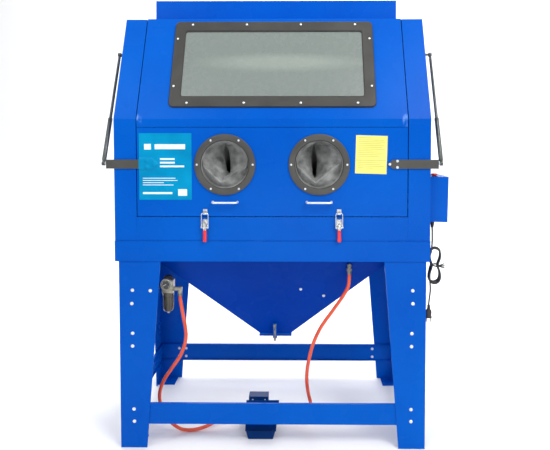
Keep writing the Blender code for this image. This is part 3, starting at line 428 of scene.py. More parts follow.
def build(name, mesh, material, body, replaces=(), slot=None, smooth=40, bevel=0.0):
    """Turn a bmesh into a named piece that rides on a body."""
    bmesh.ops.recalc_face_normals(mesh, faces=list(mesh.faces))
    if bevel:
        sharp = [edge for edge in mesh.edges if len(edge.link_faces) == 2 and edge.calc_face_angle() > 0.6]
        bmesh.ops.bevel(mesh, geom=sharp, offset=bevel, segments=2, profile=0.6, affect="EDGES",
                        clamp_overlap=True)
    data = bpy.data.meshes.new(name)
    mesh.to_mesh(data)
    mesh.free()
    data.materials.append(material)
    data.shade_smooth()
    data.set_sharp_from_angle(angle=math.radians(smooth))
    return place(bpy.data.objects.new(name, data), body, replaces)


def boxes(name, spans, material, body, bevel=0.0008, **more):
    """Make one piece from several bevelled boxes in cabinet coordinates."""
    mesh = bmesh.new()
    for low, high in spans:
        add_box(mesh, at(*low), at(*high))
    return build(name, mesh, material, body, bevel=bevel, **more)


def turned(name, parts, material, body, **more):
    """Make one piece from solids of revolution, each (stations, matrix, sides)."""
    mesh = bmesh.new()
    for stations, matrix, sides in parts:
        add_turned(mesh, stations, matrix, sides)
    return build(name, mesh, material, body, **more)


def lofted(name, loops, material, body, closed=False, **more):
    """Make one piece by skinning loops."""
    mesh = bmesh.new()
    add_loft(mesh, loops, closed)
    return build(name, mesh, material, body, **more)


def tube(name, points, diameter, material, body, sides, replaces):
    """Lay a round bar, hose or cord along points as one bevelled curve."""
    data = bpy.data.curves.new(name, "CURVE")
    data.dimensions = "3D"
    data.bevel_depth = diameter / 2
    data.bevel_resolution = sides
    data.use_fill_caps = True
    spline = data.splines.new("POLY")
    spline.points.add(len(points) - 1)
    for knot, point in zip(spline.points, points):
        knot.co = (*point, 1.0)
    data.materials.append(material)
    return place(bpy.data.objects.new(name, data), body, replaces)


def smooth_route(route, spacing):
    """Read evenly spaced points from a Catmull-Rom curve through the route's points."""
    knots = [Vector(point) for point in route]
    knots = [2 * knots[0] - knots[1], *knots, 2 * knots[-1] - knots[-2]]
    dense = []
    for a, b, c, d in zip(knots, knots[1:], knots[2:], knots[3:]):
        for i in range(24):
            t = i / 24
            dense.append(0.5 * (2 * b + (c - a) * t + (2 * a - 5 * b + 4 * c - d) * t * t
                                + (3 * b - a - 3 * c + d) * t ** 3))
    dense.append(knots[-2])
    lengths = [0.0]
    for first, second in zip(dense, dense[1:]):
        lengths.append(lengths[-1] + (second - first).length)
    count = max(2, round(lengths[-1] / spacing))
    points = []
    index = 0
    for step in range(count + 1):
        target = lengths[-1] * step / count
        while index < len(dense) - 2 and lengths[index + 1] < target:
            index += 1
        span = lengths[index + 1] - lengths[index] or 1.0
        points.append(dense[index].lerp(dense[index + 1], min(1.0, (target - lengths[index]) / span)))
    return points


def screw_heads(name, places, radius, height, body):
    """Pan heads with a socket, at (point, normal) places."""
    head = [(radius, 0.0), (radius, height * 0.35), (radius * 0.86, height * 0.78), (radius * 0.55, height),
            (radius * 0.34, height), (radius * 0.28, height * 0.55)]
    turned(name, [(head, towards(*spot), 16) for spot in places], SCREW, body, smooth=35)


def hex_bolts(name, places, size=0.005, height=0.0042):
    """Hexagon heads on round washers, at (point, normal) places on the cabinet."""
    washer = [(size * 1.35, 0), (size * 1.35, 0.0012), (size * 1.2, 0.0015)]
    head = [(size, 0), (size, height * 0.8), (size * 0.84, height)]
    lift = Matrix.Translation((0, 0, 0.0014))
    parts = []
    for spot in places:
        parts += [(washer, towards(*spot), 20), (head, towards(*spot) @ lift, 6)]
    turned(name, parts, SCREW, "cabinet", smooth=25)


# ------------------------------------------------------------------ camera, set


def make_camera():
    data = bpy.data.cameras.new("camera")
    data.lens = 35.08
    data.sensor_width = 36.0
    data.shift_x = -0.0393
    data.shift_y = -0.1253
    camera = bpy.data.objects.new("camera", data)
    camera.location = at(0.1149, -2.0581, 1.2330)
    camera.rotation_euler = (math.pi / 2 - 0.0403, 0.0, 0.0098)
    SCENE.collection.objects.link(camera)
    SCENE.camera = camera


def area_light(name, spot, target, size, power, colour=(1, 1, 1), tall=None):
    data = bpy.data.lights.new(name, "AREA")
    data.energy = power
    data.color = colour
    data.shape = "RECTANGLE"
    data.size = size
    data.size_y = tall or size
    light = bpy.data.objects.new(name, data)
    light.location = spot
    light.rotation_euler = (Vector(target) - Vector(spot)).to_track_quat("-Z", "Y").to_euler()
    SCENE.collection.objects.link(light)


def make_floor():
    """White floor that sweeps up behind the cabinet."""
    half_width, near, sweep_start, sweep_radius, top = 9.0, -7.0, 2.2, 1.6, 7.0
    profile = [(near, 0.0), (sweep_start, 0.0)]
    for i in range(1, 13):
        angle = math.radians(90 * i / 12)
        profile.append((sweep_start + sweep_radius * math.sin(angle), sweep_radius * (1 - math.cos(angle))))
    profile.append((sweep_start + sweep_radius, top))
    mesh = bmesh.new()
    rows = [[mesh.verts.new((x, y, z - 0.0002)) for x in (-half_width, half_width)] for y, z in profile]
    for first, second in zip(rows, rows[1:]):
        mesh.faces.new((first[0], first[1], second[1], second[0]))
    data = bpy.data.meshes.new("studio_floor")
    mesh.to_mesh(data)
    mesh.free()
    data.shade_smooth()
    data.materials.append(stage_material("white_paper", 0.88))
    floor = bpy.data.objects.new("studio_floor", data)
    SCENE.collection.objects.link(floor)


def make_set():
    """Floor, a pale world that brightens upwards, and soft lights."""
    make_floor()
    world = bpy.data.worlds.new("studio")
    world.use_nodes = True
    tree = world.node_tree
    sky = tree.nodes["Background"]
    direction = tree.nodes.new("ShaderNodeTexCoord")
    parts = tree.nodes.new("ShaderNodeSeparateXYZ")
    tree.links.new(direction.outputs["Generated"], parts.inputs["Vector"])
    tree.links.new(ramp(tree, parts.outputs["Z"], -0.1, 0.9, 0.36, 0.62), sky.inputs["Strength"])
    sky.inputs["Color"].default_value = (0.97, 0.985, 1.0, 1.0)
    SCENE.world = world
    area_light("key_right", (2.0, -2.7, 3.7), (0.1, 0, 1.0), 1.8, 116, (1.0, 0.99, 0.97))
    area_light("fill_left", (-2.2, -2.9, 3.4), (-0.1, 0, 0.9), 2.2, 48, (0.97, 0.99, 1.0))
    area_light("low_fill", (0.7, -4.0, 0.36), (0.1, 0.3, 0.5), 2.8, 12, tall=0.6)
    area_light("top_soft", (0.0, -0.2, 4.2), (0, 0.1, 1.0), 2.6, 22)
    area_light("rear_fill", (0.0, 3.2, 2.4), (0, 0.4, 0.7), 2.6, 46)
    area_light("backdrop", (0.0, 1.4, 3.6), (0, 3.8, 1.0), 4.0, 130)
    SCENE.view_settings.view_transform = "Standard"
    SCENE.view_settings.look = "None"


# ----------------------------------------------------------------- hoses, cord


def between(values, turn):
    """Return a value that eases from one loop's figure to the next."""
    index = min(len(values) - 2, int(turn))
    return values[index] + (values[index + 1] - values[index]) * ease(turn - index)


def hank_path():
    """Return the folded and tied length of cord: loops a diameter apart, front to rear."""
    radius, height, pinch = 0.0218, 0.0752, 0.0095
    loops, steps = 4.5, 60
    first = HANK_CENTRE.y - 2 * CORD_DIAMETER
    pitch = CORD_DIAMETER * 1.005
    arc = math.pi * radius
    points = []
    for i in range(int(loops * steps) + 1):
        turn = i / steps
        top = height - between((0.000, 0.007, 0.002, 0.009, 0.006), turn)
        lean = math.radians(between((4.0, -2.0, 1.5, 5.0, 3.0), turn))
        straight = 2 * (top - radius)
        walk = turn % 1.0 * 2 * (straight + arc)
        if walk < straight:
            x, z = -radius, straight / 2 - walk
        elif walk < straight + arc:
            angle = math.pi + (walk - straight) / radius
            x, z = radius * math.cos(angle), -straight / 2 + radius * math.sin(angle)
        elif walk < 2 * straight + arc:
            x, z = radius, -straight / 2 + (walk - straight - arc)
        else:
            angle = (walk - 2 * straight - arc) / radius
            x, z = radius * math.cos(angle), straight / 2 + radius * math.sin(angle)
        if abs(z) < straight / 2:
            x *= 1 - pinch / radius * ((1 + math.cos(2 * math.pi * z / straight)) / 2) ** 2
        swing = lean * min(1.0, (z / 0.05) ** 2)
        points.append(Vector((HANK_CENTRE.x + x * math.cos(swing) + z * math.sin(swing) * 0.5,
                              first + pitch * turn,
                              HANK_CENTRE.z + z)))
    return points


def cord_route():
    """Join the drop, the hank and the tail in one smooth line."""
    join_top, join_bottom = 0.752, 0.690
    keep = hank_path()[::2]
    while keep[0].z > join_top:
        keep.pop(0)
    while keep[-1].z < join_bottom:
        keep.pop()
    return [at(*p) for p in smooth_route([*CORD_DROP_ROUTE, *keep, *CORD_TAIL_ROUTE], CORD_DIAMETER * 0.6)]


def make_cords():
    """Two air hoses that end in fittings, and the mains cord with its tie and plug."""
    for name, route, node, length in (("air_feed_hose", FEED_HOSE_ROUTE, "feed_hose", 0.906),
                                      ("air_gun_hose", GUN_HOSE_ROUTE, "gun_hose", 0.803)):
        hose = tube(name, [at(*p) for p in smooth_route(route, 0.008)], HOSE_DIAMETER, HOSE, "cabinet", 6,
                    [node])
    plug = make_plug()
    tie = make_cord_tie()
    mains = tube("mains_cord", cord_route(), CORD_DIAMETER, JACKET, "cabinet", 5,
                 ["mains_cord_drop", "mains_cord_hank", "mains_cord_tail"])


def make_plug():
    """Two-pin moulded plug with a ribbed neck, waisted grip and rounded shoulders."""
    x, y, z = CORD_TAIL_ROUTE[-1]
    neck = [(0.0042, 0.0), (0.0058, -0.002)]
    for i in range(4):
        start = -0.003 - 0.0042 * i
        crest, root = 0.0058 + 0.0003 * i, 0.0047 + 0.0003 * i
        neck += [(crest, start), (crest, start - 0.0024), (root, start - 0.0026), (root, start - 0.004)]
    mesh = bmesh.new()
    add_turned(mesh, neck, Matrix.Translation(at(x, y, z - 0.0003)), 20)
    loops = []
    for drop, half_w, half_d in ((0.017, 0.0060, 0.0060), (0.021, 0.0100, 0.0075), (0.030, 0.0118, 0.0080),
                                 (0.040, 0.0105, 0.0072), (0.047, 0.0125, 0.0086),
                                 (0.0525, 0.0122, 0.0083), (0.0532, 0.0108, 0.0070)):
        outline = rounded_rectangle(half_w, half_d, min(half_w, half_d) * 0.75)
        loops.append([at(x + a, y + b, z - drop) for a, b in outline])
    add_loft(mesh, loops)
    plug = build("mains_plug_moulding", mesh, PLUG, "cabinet", ["mains_plug"], "black_plastic", 45)
    pin = [(0.0024, -0.0525), (0.0024, -0.069), (0.0014, -0.07)]
    pins = turned("mains_plug_pins",
                  [(pin, Matrix.Translation(at(x + sign * 0.0078, y, z)), 14) for sign in (-1, 1)],
                  BRASS, "cabinet", slot="fitting_brass")
    pins.parent = plug
    return plug


def make_cord_tie():
    """Tie wound round the hank's waist, with its ends spread to one side."""
    centre = at(*HANK_CENTRE)
    half_width, half_depth, thick, tall = 0.0135, 0.0178, 0.0012, 0.0030
    loops = []
    for angle in turns(40):
        out = Vector((math.cos(angle), math.sin(angle), 0))
        middle = centre + Vector((half_width * out.x, half_depth * out.y, 0.0015 * math.sin(2 * angle)))
        loops.append([middle + out * thick * math.cos(t) + Vector((0, 0, tall * math.sin(t)))
                      for t in turns(8)])
    mesh = bmesh.new()
    add_loft(mesh, loops, closed=True)
    strand = [(0.0021, 0), (0.0024, 0.012), (0.0024, 0.023), (0.0015, 0.0246)]
    for rise in (-0.24, 0.04, 0.34):
        root = centre + Vector((0.0125, -0.0165, 0.006 * rise))
        add_turned(mesh, strand, towards(root, (1.0, -0.06, rise)), 10)
    return build("mains_cord_tie", mesh, BLACK, "cabinet", slot="black_plastic")


# ---------------------------------------------------------------------- sleeves


def polygon_radius(angle, corners, reach):
    """Return the radius of a straight-sided outline through polar corners."""
    full = 2 * math.pi
    angle %= full
    order = sorted((corner % full, size) for corner, size in zip(corners, reach))
    order.append((order[0][0] + full, order[0][1]))
    if angle < order[0][0]:
        angle += full
    for (a, ra), (b, rb) in zip(order, order[1:]):
        if a <= angle <= b:
            ax, ay = ra * math.cos(a), ra * math.sin(a)
            bx, by = rb * math.cos(b), rb * math.sin(b)
            dx, dy = math.cos(angle), math.sin(angle)
            return (ax * by - ay * bx) / (dx * (by - ay) - dy * (bx - ax))
    return reach[0]


def sleeve_section(depth, angle, side):
    """Return a sleeve point: tucked in at the ring, out over a slack lip, then closing to a slit."""
    mouth = PORT_RADIUS - 0.0013
    cos, sin = math.cos(angle), math.sin(angle)
    corners = [math.radians(a) for a in (186, 258, 352 if side < 0 else 368, 60, 120)]
    facet = polygon_radius(angle, corners, [0.90, 0.78, 0.86, 0.97, 0.97])
    upper = min(1.0, max(0.0, sin * 2.2 + 0.45))
    lip = mouth * (facet * (1 - upper) + 0.972 * upper)
    tuck = mouth * (0.955 + 0.03 * upper)
    shift, lean, half, lift = (-0.018, -0.002, 0.070, 0.012) if side > 0 else (-0.001, -0.007, 0.060, 0.020)
    # (depth, across, up, inwards) stations of the same cloth
    keys = [(0.00, mouth * cos, mouth * sin, -0.003),
            (0.07, tuck * cos, tuck * sin, 0.019),
            (0.16, lip * cos, lip * sin, -0.0005 + 0.019 * upper),
            (0.22, lip * 0.95 * cos, lip * 0.95 * sin, 0.005 + 0.019 * upper),
            (0.52, 0.0115 * cos + shift + lean * sin, half * sin + lift, 0.080),
            (0.76, 0.0150 * cos + shift, 0.056 * sin - 0.012, 0.140),
            (1.00, 0.0300 * cos + 0.004, 0.036 * sin - 0.060, 0.240)]
    for first, second in zip(keys, keys[1:]):
        if depth <= second[0]:
            t = (depth - first[0]) / (second[0] - first[0])
            if first[0] >= 0.22:
                t = t * (1.6 - 0.6 * t)
            x, z, y = (a + (b - a) * t for a, b in zip(first[1:], second[1:]))
            break
    ripple = 0.6 * math.sin(angle * 6 + depth * 8) + 0.4 * math.sin(angle * 11 - depth * 12)
    crease = noise.noise(Vector((cos * 2.2, sin * 2.2, depth * 6 + side * 3)))
    slack = min(1.0, max(0.0, (depth - 0.17) / 0.20))
    scale = 1 - 0.050 * slack * (abs(ripple) + abs(crease))
    return at(side * PORT_X + x * scale, y, PORT_Z + z * scale)


def make_sleeves():
    """Glove sleeves: each is one skin of cloth, open at the ring, and then given its thickness."""
    around, along = 144, 64
    for side, word in SIDES:
        mesh = bmesh.new()
        add_loft(mesh, [[sleeve_section((k / along) ** 1.15, angle, side) for angle in turns(around)]
                        for k in range(along + 1)], open_start=True)
        sleeve = build(f"glove_cloth_{word}", mesh, CLOTH, "door", [f"glove_sleeve_{word}"], "sleeve_rubber",
                       180)
        skin = sleeve.modifiers.new("skin", "SOLIDIFY")
        skin.thickness = 0.0011
        skin.offset = 0.0


def port_point(side, radius, angle, y):
    """Return the point at a radius and an angle round one glove port."""
    return at(side * PORT_X + radius * math.cos(angle), y, PORT_Z + radius * math.sin(angle))


def make_glove_rings():
    """Clamping rings with an eased front and six screws each, and a rolled lip inside them."""
    front, screw_circle = -0.0063, 0.1075
    profile = [(PORT_RADIUS, -0.0004), (PORT_RADIUS, -0.0045), (PORT_RADIUS + 0.0008, -0.0057),
               (PORT_RADIUS + 0.002, front), (RING_RADIUS - 0.002, front), (RING_RADIUS - 0.0008, -0.0057),
               (RING_RADIUS, -0.0045), (RING_RADIUS, -0.0004)]
    for side, word in SIDES:
        loops = [[port_point(side, radius, angle, y) for angle in turns(112)] for radius, y in profile]
        lofted(f"clamp_ring_{word}", loops, DARK, "door", True, replaces=[f"glove_ring_{word}"],
               slot="dark_trim")
        places = [(port_point(side, screw_circle, angle, front), FRONT) for angle in turns(6)]
        screw_heads(f"clamp_ring_screws_{word}", places, 0.0042, 0.0026, "door")
        loops = [[port_point(side, PORT_RADIUS - 0.0006 + 0.0012 * math.cos(t), angle,
                             -0.0035 + 0.002 * math.sin(t)) for t in turns(8)] for angle in turns(96)]
        lofted(f"sleeve_bead_{word}", loops, RUBBER, "door", True)


# ------------------------------------------------------------------------- door


def slope_frame():
    """Return the frame of the sloping window panel: X across, Y up the slope, Z out."""
    up = Vector((0, SLOPE_RUN, TOP_Z - BEND_Z)).normalized()
    matrix = Matrix.Identity(4)
    matrix.col[1].xyz = up
    matrix.col[2].xyz = Vector((1, 0, 0)).cross(up)
    matrix.col[3].xyz = at(0, SLOPE_RUN / 2, (BEND_Z + TOP_Z) / 2) + up * WINDOW_UP
    return matrix


def window_strip(name, corner, sections):
    """Rubber strip round the window opening, from (offset, height, top widening) sections; the top widening
    is a painted shadow under the bezel's top edge.
    """
    matrix = slope_frame()
    loops = []
    for offset, height, top_shadow_width in sections:
        outline = rounded_rectangle(OPENING_HALF_W + offset, OPENING_HALF_H + offset, corner)
        loops.append([matrix @ Vector((x, y - top_shadow_width * (y > 0), height)) for x, y in outline])
    lofted(name, loops, RUBBER, "door", True)


def make_window_trim():
    """Screws round the bezel, the glazing bead inside it, widened along the top as a painted shadow, and the
    rubber gasket under it.
    """
    matrix = slope_frame()
    half_w = OPENING_HALF_W + BEZEL_BORDER / 2
    half_h = OPENING_HALF_H + BEZEL_BORDER / 2
    face, top_shadow_width = 0.0077, 0.004
    spots = [((i - 1.5) * 2 * half_w * 0.29, row * (half_h + 0.0062)) for row in (-1, 1) for i in range(4)]
    spots += [(column * (half_w + 0.007), up) for column in (-1, 1) for up in (-0.1045, 0.1105)]
    places = [(matrix @ Vector((x, y, face)), matrix.col[2].xyz) for x, y in spots]
    screw_heads("bezel_screws", places, 0.0046, 0.0028, "door")
    # painted shadow: the bead's inner edge is set lower along the top of the opening
    window_strip("glazing_bead_and_top_shadow", 0.010, [(-0.0022, 0.0046, top_shadow_width), (-0.0022, 0.0064, top_shadow_width),
                                         (-0.001, 0.0072, top_shadow_width), (0.0, 0.007, 0.0), (0.0, 0.0046, 0.0)])
    inner, outer = BEZEL_BORDER - 0.004, BEZEL_BORDER + 0.0016
    window_strip("bezel_gasket", 0.020, [(inner, 0.0001, 0.0), (outer, 0.0001, 0.0), (outer, 0.001, 0.0),
                                         (inner, 0.0003, 0.0)])


def make_handles():
    """Bent bar pulls with flattened feet."""
    half, z = 0.0475, 0.972
    foot = [(0.005, 0.0), (0.005, 0.0007), (0.0044, 0.0012), (0.0041, 0.002)]
    for side, word in SIDES:
        x = side * PORT_X
        points = [at(x + a, -out, z) for a, out in bow(half, 0.0005, 0.0238, 0.009, 8)]
        tube(f"door_pull_{word}", points, 0.008, SCREW, "door", 5, [f"handle_{word}"])
        feet = [(foot, towards(at(x + sign * half, -0.0003, z), FRONT), 28) for sign in (-1, 1)]
        turned(f"door_pull_feet_{word}", feet, SCREW, "door")


def make_latches():
    """Toggle latches: formed base, pressed lever with a red sleeve, wire bail and catch."""
    for side, word in SIDES:
        x = side * LATCH_X
        make_latch_base(x, word)
        make_latch_lever(x, word)
        make_bail(x, word)
        catch = [((x - 0.0085, PLATE_Y, 0.924), (x + 0.0085, -0.0002, 0.945)),
                 ((x - 0.006, -0.0178, 0.9262), (x + 0.006, -0.001, 0.9284)),
                 ((x - 0.006, -0.0182, 0.9262), (x + 0.006, -0.0166, 0.9345))]
        boxes(f"latch_catch_{word}", catch, ZINC, "door", 0.0004)
        places = [(at(x + sign * 0.0045, PLATE_Y, 0.9405), FRONT) for sign in (-1, 1)]
        screw_heads(f"latch_catch_rivets_{word}", places, 0.0028, 0.0018, "door")


def make_latch_base(x, word):
    """Back plate with two cheeks, its rivet and the heads of the lever's pin."""
    half = 0.0107
    cheek = [(-0.001, 0.872), (-0.01, 0.879), (-0.0155, 0.88), (-0.0165, 0.884), (-0.0155, 0.888),
             (-0.01, 0.891), (-0.001, 0.898)]
    mesh = bmesh.new()
    add_box(mesh, at(x - half, PLATE_Y, 0.868), at(x + half, -0.0002, 0.906))
    for sign in (-1, 1):
        add_loft(mesh, [[at(x + sign * across, y, z) for y, z in cheek] for across in (0.0092, half)])
    build(f"latch_bracket_{word}", mesh, ZINC, "cabinet", [f"latch_base_{word}"], "zinc_steel", bevel=0.0003)
    places = [(at(x, PLATE_Y, 0.9), FRONT)]
    places += [(at(x + sign * half, PIN_Y, 0.884), (sign, 0, 0)) for sign in (-1, 1)]
    screw_heads(f"latch_rivets_{word}", places, 0.003, 0.0016, "cabinet")


def make_latch_lever(x, word):
    """Pressed lever plate with a rivet, on the bail's pin, and its red plastic sleeve."""
    outline = rounded_rectangle(0.0064, 0.013, 0.005)
    mesh = bmesh.new()
    add_loft(mesh, [[at(x + a * scale, y, PIN_Z + b * scale) for a, b in outline]
                    for y, scale in ((-0.0155, 0.80), (-0.0163, 0.95), (-0.0150, 1.0), (-0.0095, 1.0),
                                     (-0.0088, 0.9))])
    rivet = [(0.004, 0.0), (0.004, 0.001), (0.0026, 0.002)]
    add_turned(mesh, rivet, towards(at(x, -0.0163, 0.879), FRONT), 18)
    add_turned(mesh, [(0.0024, 0), (0.0024, 0.0236)], towards(at(x - 0.0118, PIN_Y, PIN_Z), (1, 0, 0)), 16)
    metal = build(f"latch_lever_plate_{word}", mesh, ZINC, f"latch_lever_{word}", slot="zinc_steel")
    loops = []
    for z, half_w, half_d in ((0.8650, 0.0050, 0.0030), (0.8638, 0.0062, 0.0040), (0.8580, 0.0068, 0.0046),
                              (0.8450, 0.0066, 0.0045), (0.8330, 0.0071, 0.0047), (0.8250, 0.0074, 0.0048),
                              (0.8205, 0.0064, 0.0040), (0.8190, 0.0046, 0.0026)):
        loops.append([at(x + a, -0.0128 + b, z) for a, b in rounded_rectangle(half_w, half_d, half_d * 0.8)])
    grip = lofted(f"latch_grip_{word}", loops, RED, f"latch_lever_{word}",
                  replaces=[f"latch_lever_{word}"], slot="red_plastic", smooth=50)
    metal.parent = grip


def make_bail(x, word):
    """Wire loop that hooks over the catch, with an eye at each end."""
    half = 0.013
    points = [at(x + a, PIN_Y, z) for a, z in bow(half, 0.874, 0.931, 0.0075, 7)]
    tube(f"latch_wire_{word}", points, 0.0036, ZINC, f"latch_bail_{word}", 4, [f"latch_bail_{word}"])
    eyes = [([(0.0042, 0), (0.0042, 0.0036)],
             towards(at(x + sign * (half - 0.0018), PIN_Y, PIN_Z), (sign, 0, 0)), 20) for sign in (-1, 1)]
    turned(f"latch_wire_eyes_{word}", eyes, ZINC, f"latch_bail_{word}", bevel=0.0004)


def strap_rise(x, z):
    """Return how far a sticker is lifted where it lies over the left strap and its screws."""
    rise, lift = 0.0, 0.0049
    tip, shoulder, centre, half = -0.442, -0.464, 1.119, 0.0175
    if x < tip + 0.012:
        reach = half * min(1.0, max(0.0, (tip - x) / (tip - shoulder)))
        rise = lift * smooth_fall(max(abs(z - centre) - reach, x - tip), 0.0008, 0.0100)
    for across, up in STRAP_SCREWS:
        gap = math.hypot(x + across, z - up)
        if gap < 0.0100:
            rise = max(rise, lift + 0.0036 * smooth_fall(gap, 0.0052, 0.0100))
    return rise


def smooth_fall(value, full, none):
    """Return 1 up to full, easing to 0 at none."""
    return ease((none - value) / (none - full))


def patch(mesh, turn, low, high, front, step=0.0026):
    """Add a thin rectangular skin that follows whatever lies under the sticker."""
    columns = max(1, round((high[0] - low[0]) / step))
    rows = max(1, round((high[1] - low[1]) / step))
    layers = []
    for y in (front, front - 0.00016):
        grid = []
        for i in range(columns + 1):
            across = low[0] + (high[0] - low[0]) * i / columns
            line = []
            for j in range(rows + 1):
                point = turn @ Vector((across, y, low[1] + (high[1] - low[1]) * j / rows))
                point.y -= strap_rise(point.x - ORIGIN.x, point.z - ORIGIN.z)
                line.append(mesh.verts.new(point))
            grid.append(line)
        layers.append(grid)
    back, face = layers
    for i in range(columns):
        for j in range(rows):
            for grid in layers:
                mesh.faces.new((grid[i][j], grid[i + 1][j], grid[i + 1][j + 1], grid[i][j + 1]))
    edge = [(i, 0) for i in range(columns)] + [(columns, j) for j in range(rows)]
    edge += [(i, rows) for i in range(columns, 0, -1)] + [(0, j) for j in range(rows, 0, -1)]
    for (i, j), (k, m) in zip(edge, edge[1:] + edge[:1]):
        mesh.faces.new((back[i][j], back[k][m], face[k][m], face[i][j]))


def label(name, centre, size, tilt, material, print_material, bars):
    """Plain sticker with blank bars, given as (left, low, width, height) shares of its size."""
    turn = Matrix.Translation(at(centre[0], 0, centre[1])) @ Matrix.Rotation(tilt, 4, "Y")
    half_w, half_h = size[0] / 2, size[1] / 2
    mesh = bmesh.new()
    patch(mesh, turn, (-half_w, -half_h), (half_w, half_h), -0.0003)
    build(name, mesh, material, "door", smooth=60)
    mesh = bmesh.new()
    for left, low, width, height in bars:
        start = (-half_w + left * size[0], -half_h + low * size[1])
        end = (start[0] + width * size[0], start[1] + height * size[1])
        patch(mesh, turn, start, end, -0.0005)
    build(f"{name}_rules", mesh, print_material, "door", smooth=60)


def rules(left, top, gap, height, widths):
    """Return a block of ruled lines, one below the other."""
    return [(left, top - gap * i, width, height) for i, width in enumerate(widths)]


def make_labels():
    """A blue and a yellow sticker, both without lettering."""
    bars = [(0.30, 0.76, 0.58, 0.075), *rules(0.40, 0.60, 0.055, 0.026, (0.28, 0.28, 0.46)),
            *rules(0.07, 0.32, 0.034, 0.010, (0.62, 0.66, 0.40, 0.58)),
            (0.07, 0.085, 0.56, 0.030), (0.74, 0.06, 0.17, 0.10), (0.10, 0.755, 0.13, 0.085)]
    label("label_blue", (-0.4115, 1.1095), (0.203, 0.257), 0.0, CYAN, PALE, bars)
    widths = (0.80, 0.84, 0.70, 0.82, 0.76, 0.84, 0.60, 0.80, 0.72, 0.66)
    bars = [(0.08, 0.93, 0.42, 0.012), *rules(0.08, 0.88, 0.048, 0.008, widths),
            (0.03, 0.345, 0.94, 0.010), *rules(0.08, 0.29, 0.048, 0.008, (0.8, 0.74, 0.82, 0.5))]
    label("label_yellow", (0.3815, 1.1555), (0.121, 0.147), math.radians(1.6), YELLOW, OCHRE, bars)


def make_strap_screws():
    """Bright screws on the straps' tips."""
    head = [(0.0053, 0), (0.0053, 0.002), (0.0042, 0.0032), (0.0026, 0.0034), (0.002, 0.0033)]
    for side, word in SIDES:
        parts = [(head, towards(at(side * x, -0.0046, z), FRONT), 20) for x, z in STRAP_SCREWS]
        turned(f"strap_screws_{word}", parts, SCREW, "door")


def make_door_returns():
    """Folded returns and a seal behind the door's seams, so that the joints read dark."""
    half, near, far = DOOR_HALF - 0.0008, 0.0018, 0.016
    spans = []
    for side in (-1, 1):
        low_x, high_x = sorted((side * half, side * (half - 0.0016)))
        spans.append(((low_x, near, DOOR_BOTTOM + 0.001), (high_x, far, PANEL_SEAM_Z - 0.002)))
    spans.append(((-half, near, DOOR_BOTTOM + 0.0006), (half, far, DOOR_BOTTOM + 0.0022)))
    boxes("door_returns", spans, BLUE, "door", 0.0003)
    half = DOOR_HALF + 0.002
    seal = [((-half, 0.0026, DOOR_BOTTOM - 0.030), (half, 0.0100, DOOR_BOTTOM - 0.003))]
    boxes("sill_seal", seal, RUBBER, "cabinet")


# ------------------------------------------------------------------------ stand


def make_stand_fittings():
    """Bolts through the legs into the band and rails, nuts inside, and the band's weld seam."""
    face_y, leg_face_x = 0.0011, 0.597
    spots = [(-0.545, 0.627), (-0.475, 0.625), (-0.548, 0.574), (-0.546, 0.457), (-0.547, 0.406),
             (-0.544, 0.155), (-0.543, 0.106),
             (0.545, 0.628), (0.546, 0.577), (0.543, 0.459), (0.542, 0.408), (0.542, 0.158), (0.542, 0.110)]
    places = [(at(x, face_y, z), FRONT) for x, z in spots]
    places += [(at(x, BODY_DEPTH - face_y, z), REAR) for x, z in spots]
    places += [(at(side * leg_face_x, y, z), (side, 0, 0)) for side in (-1, 1)
               for z in (0.155, 0.115, 0.575, 0.627) for y in (0.045, BODY_DEPTH - 0.045)]
    hex_bolts("leg_bolts", places)
    rail_inside = BODY_DEPTH - 0.0078
    inside = [(at(x, rail_inside, z), FRONT) for x in (-0.505, -0.47, 0.47) for z in (0.112, 0.152)]
    hex_bolts("rear_leg_nuts", inside)
    boxes("band_weld_seam", [((-0.6112, -0.0026, 0.819), (0.6112, -0.0018, 0.8214))], BLUE, "cabinet", 0.0003)


def make_hopper_fittings():
    """Bolts on the hopper's front wall, the wire clasp and the gasket between outlet and lid."""
    top, bottom, wide, narrow, centre_y = 0.816, 0.369, 0.286, 0.0665, 0.310
    normal = Vector((0, -(top - bottom), -(wide - narrow))).normalized()
    places = []
    for x, z in ((0.110, 0.595), (0.206, 0.563)):
        share = (z - bottom) / (top - bottom)
        front = centre_y - (narrow + (wide - narrow) * share)
        places.append((at(x, front, z) + normal * 0.0003, normal))
    hex_bolts("hopper_bolts", places, 0.0046, 0.004)
    clasp = [((side * 0.003 - 0.0014, 0.1925, 0.356), (side * 0.003 + 0.0014, 0.1953, 0.4245))
             for side in (-1, 1)]
    clasp += [((-0.0052, 0.1922, 0.3536), (0.0052, 0.1956, 0.3640)),
              ((-0.0052, 0.1940, 0.3536), (0.0052, 0.2445, 0.3560)),
              ((-0.0056, 0.1920, 0.4120), (0.0056, 0.1980, 0.4246)),
              ((-0.0040, 0.1916, 0.3850), (0.0040, 0.1940, 0.3960))]
    boxes("drain_clasp_wire", clasp, FITTING, "drain_clasp", 0.0006, replaces=["drain_clasp"])
    half = 0.0692
    gasket = [((-half, centre_y - half, 0.3621), (half, centre_y + half, 0.3629))]
    boxes("outlet_gasket", gasket, RUBBER, "cabinet", 0.0002)


def make_light_housing_trim():
    """End screws and the fixing flange of the lamp housing."""
    half, low_y, high_y = 0.530, 0.330, 0.540
    places = [(at(side * half, y, z), (side, 0, 0)) for side in (-1, 1) for y in (0.36, 0.51)
              for z in (1.795, 1.735)]
    screw_heads("housing_screws", places, 0.0042, 0.0026, "cabinet")
    flange = [((-half, near, TOP_Z + 0.0002), (half, far, TOP_Z + 0.0018))
              for near, far in ((low_y - 0.012, low_y + 0.0005), (high_y - 0.0005, high_y + 0.012))]
    boxes("housing_flange", flange, BLUE, "cabinet", 0.0004)


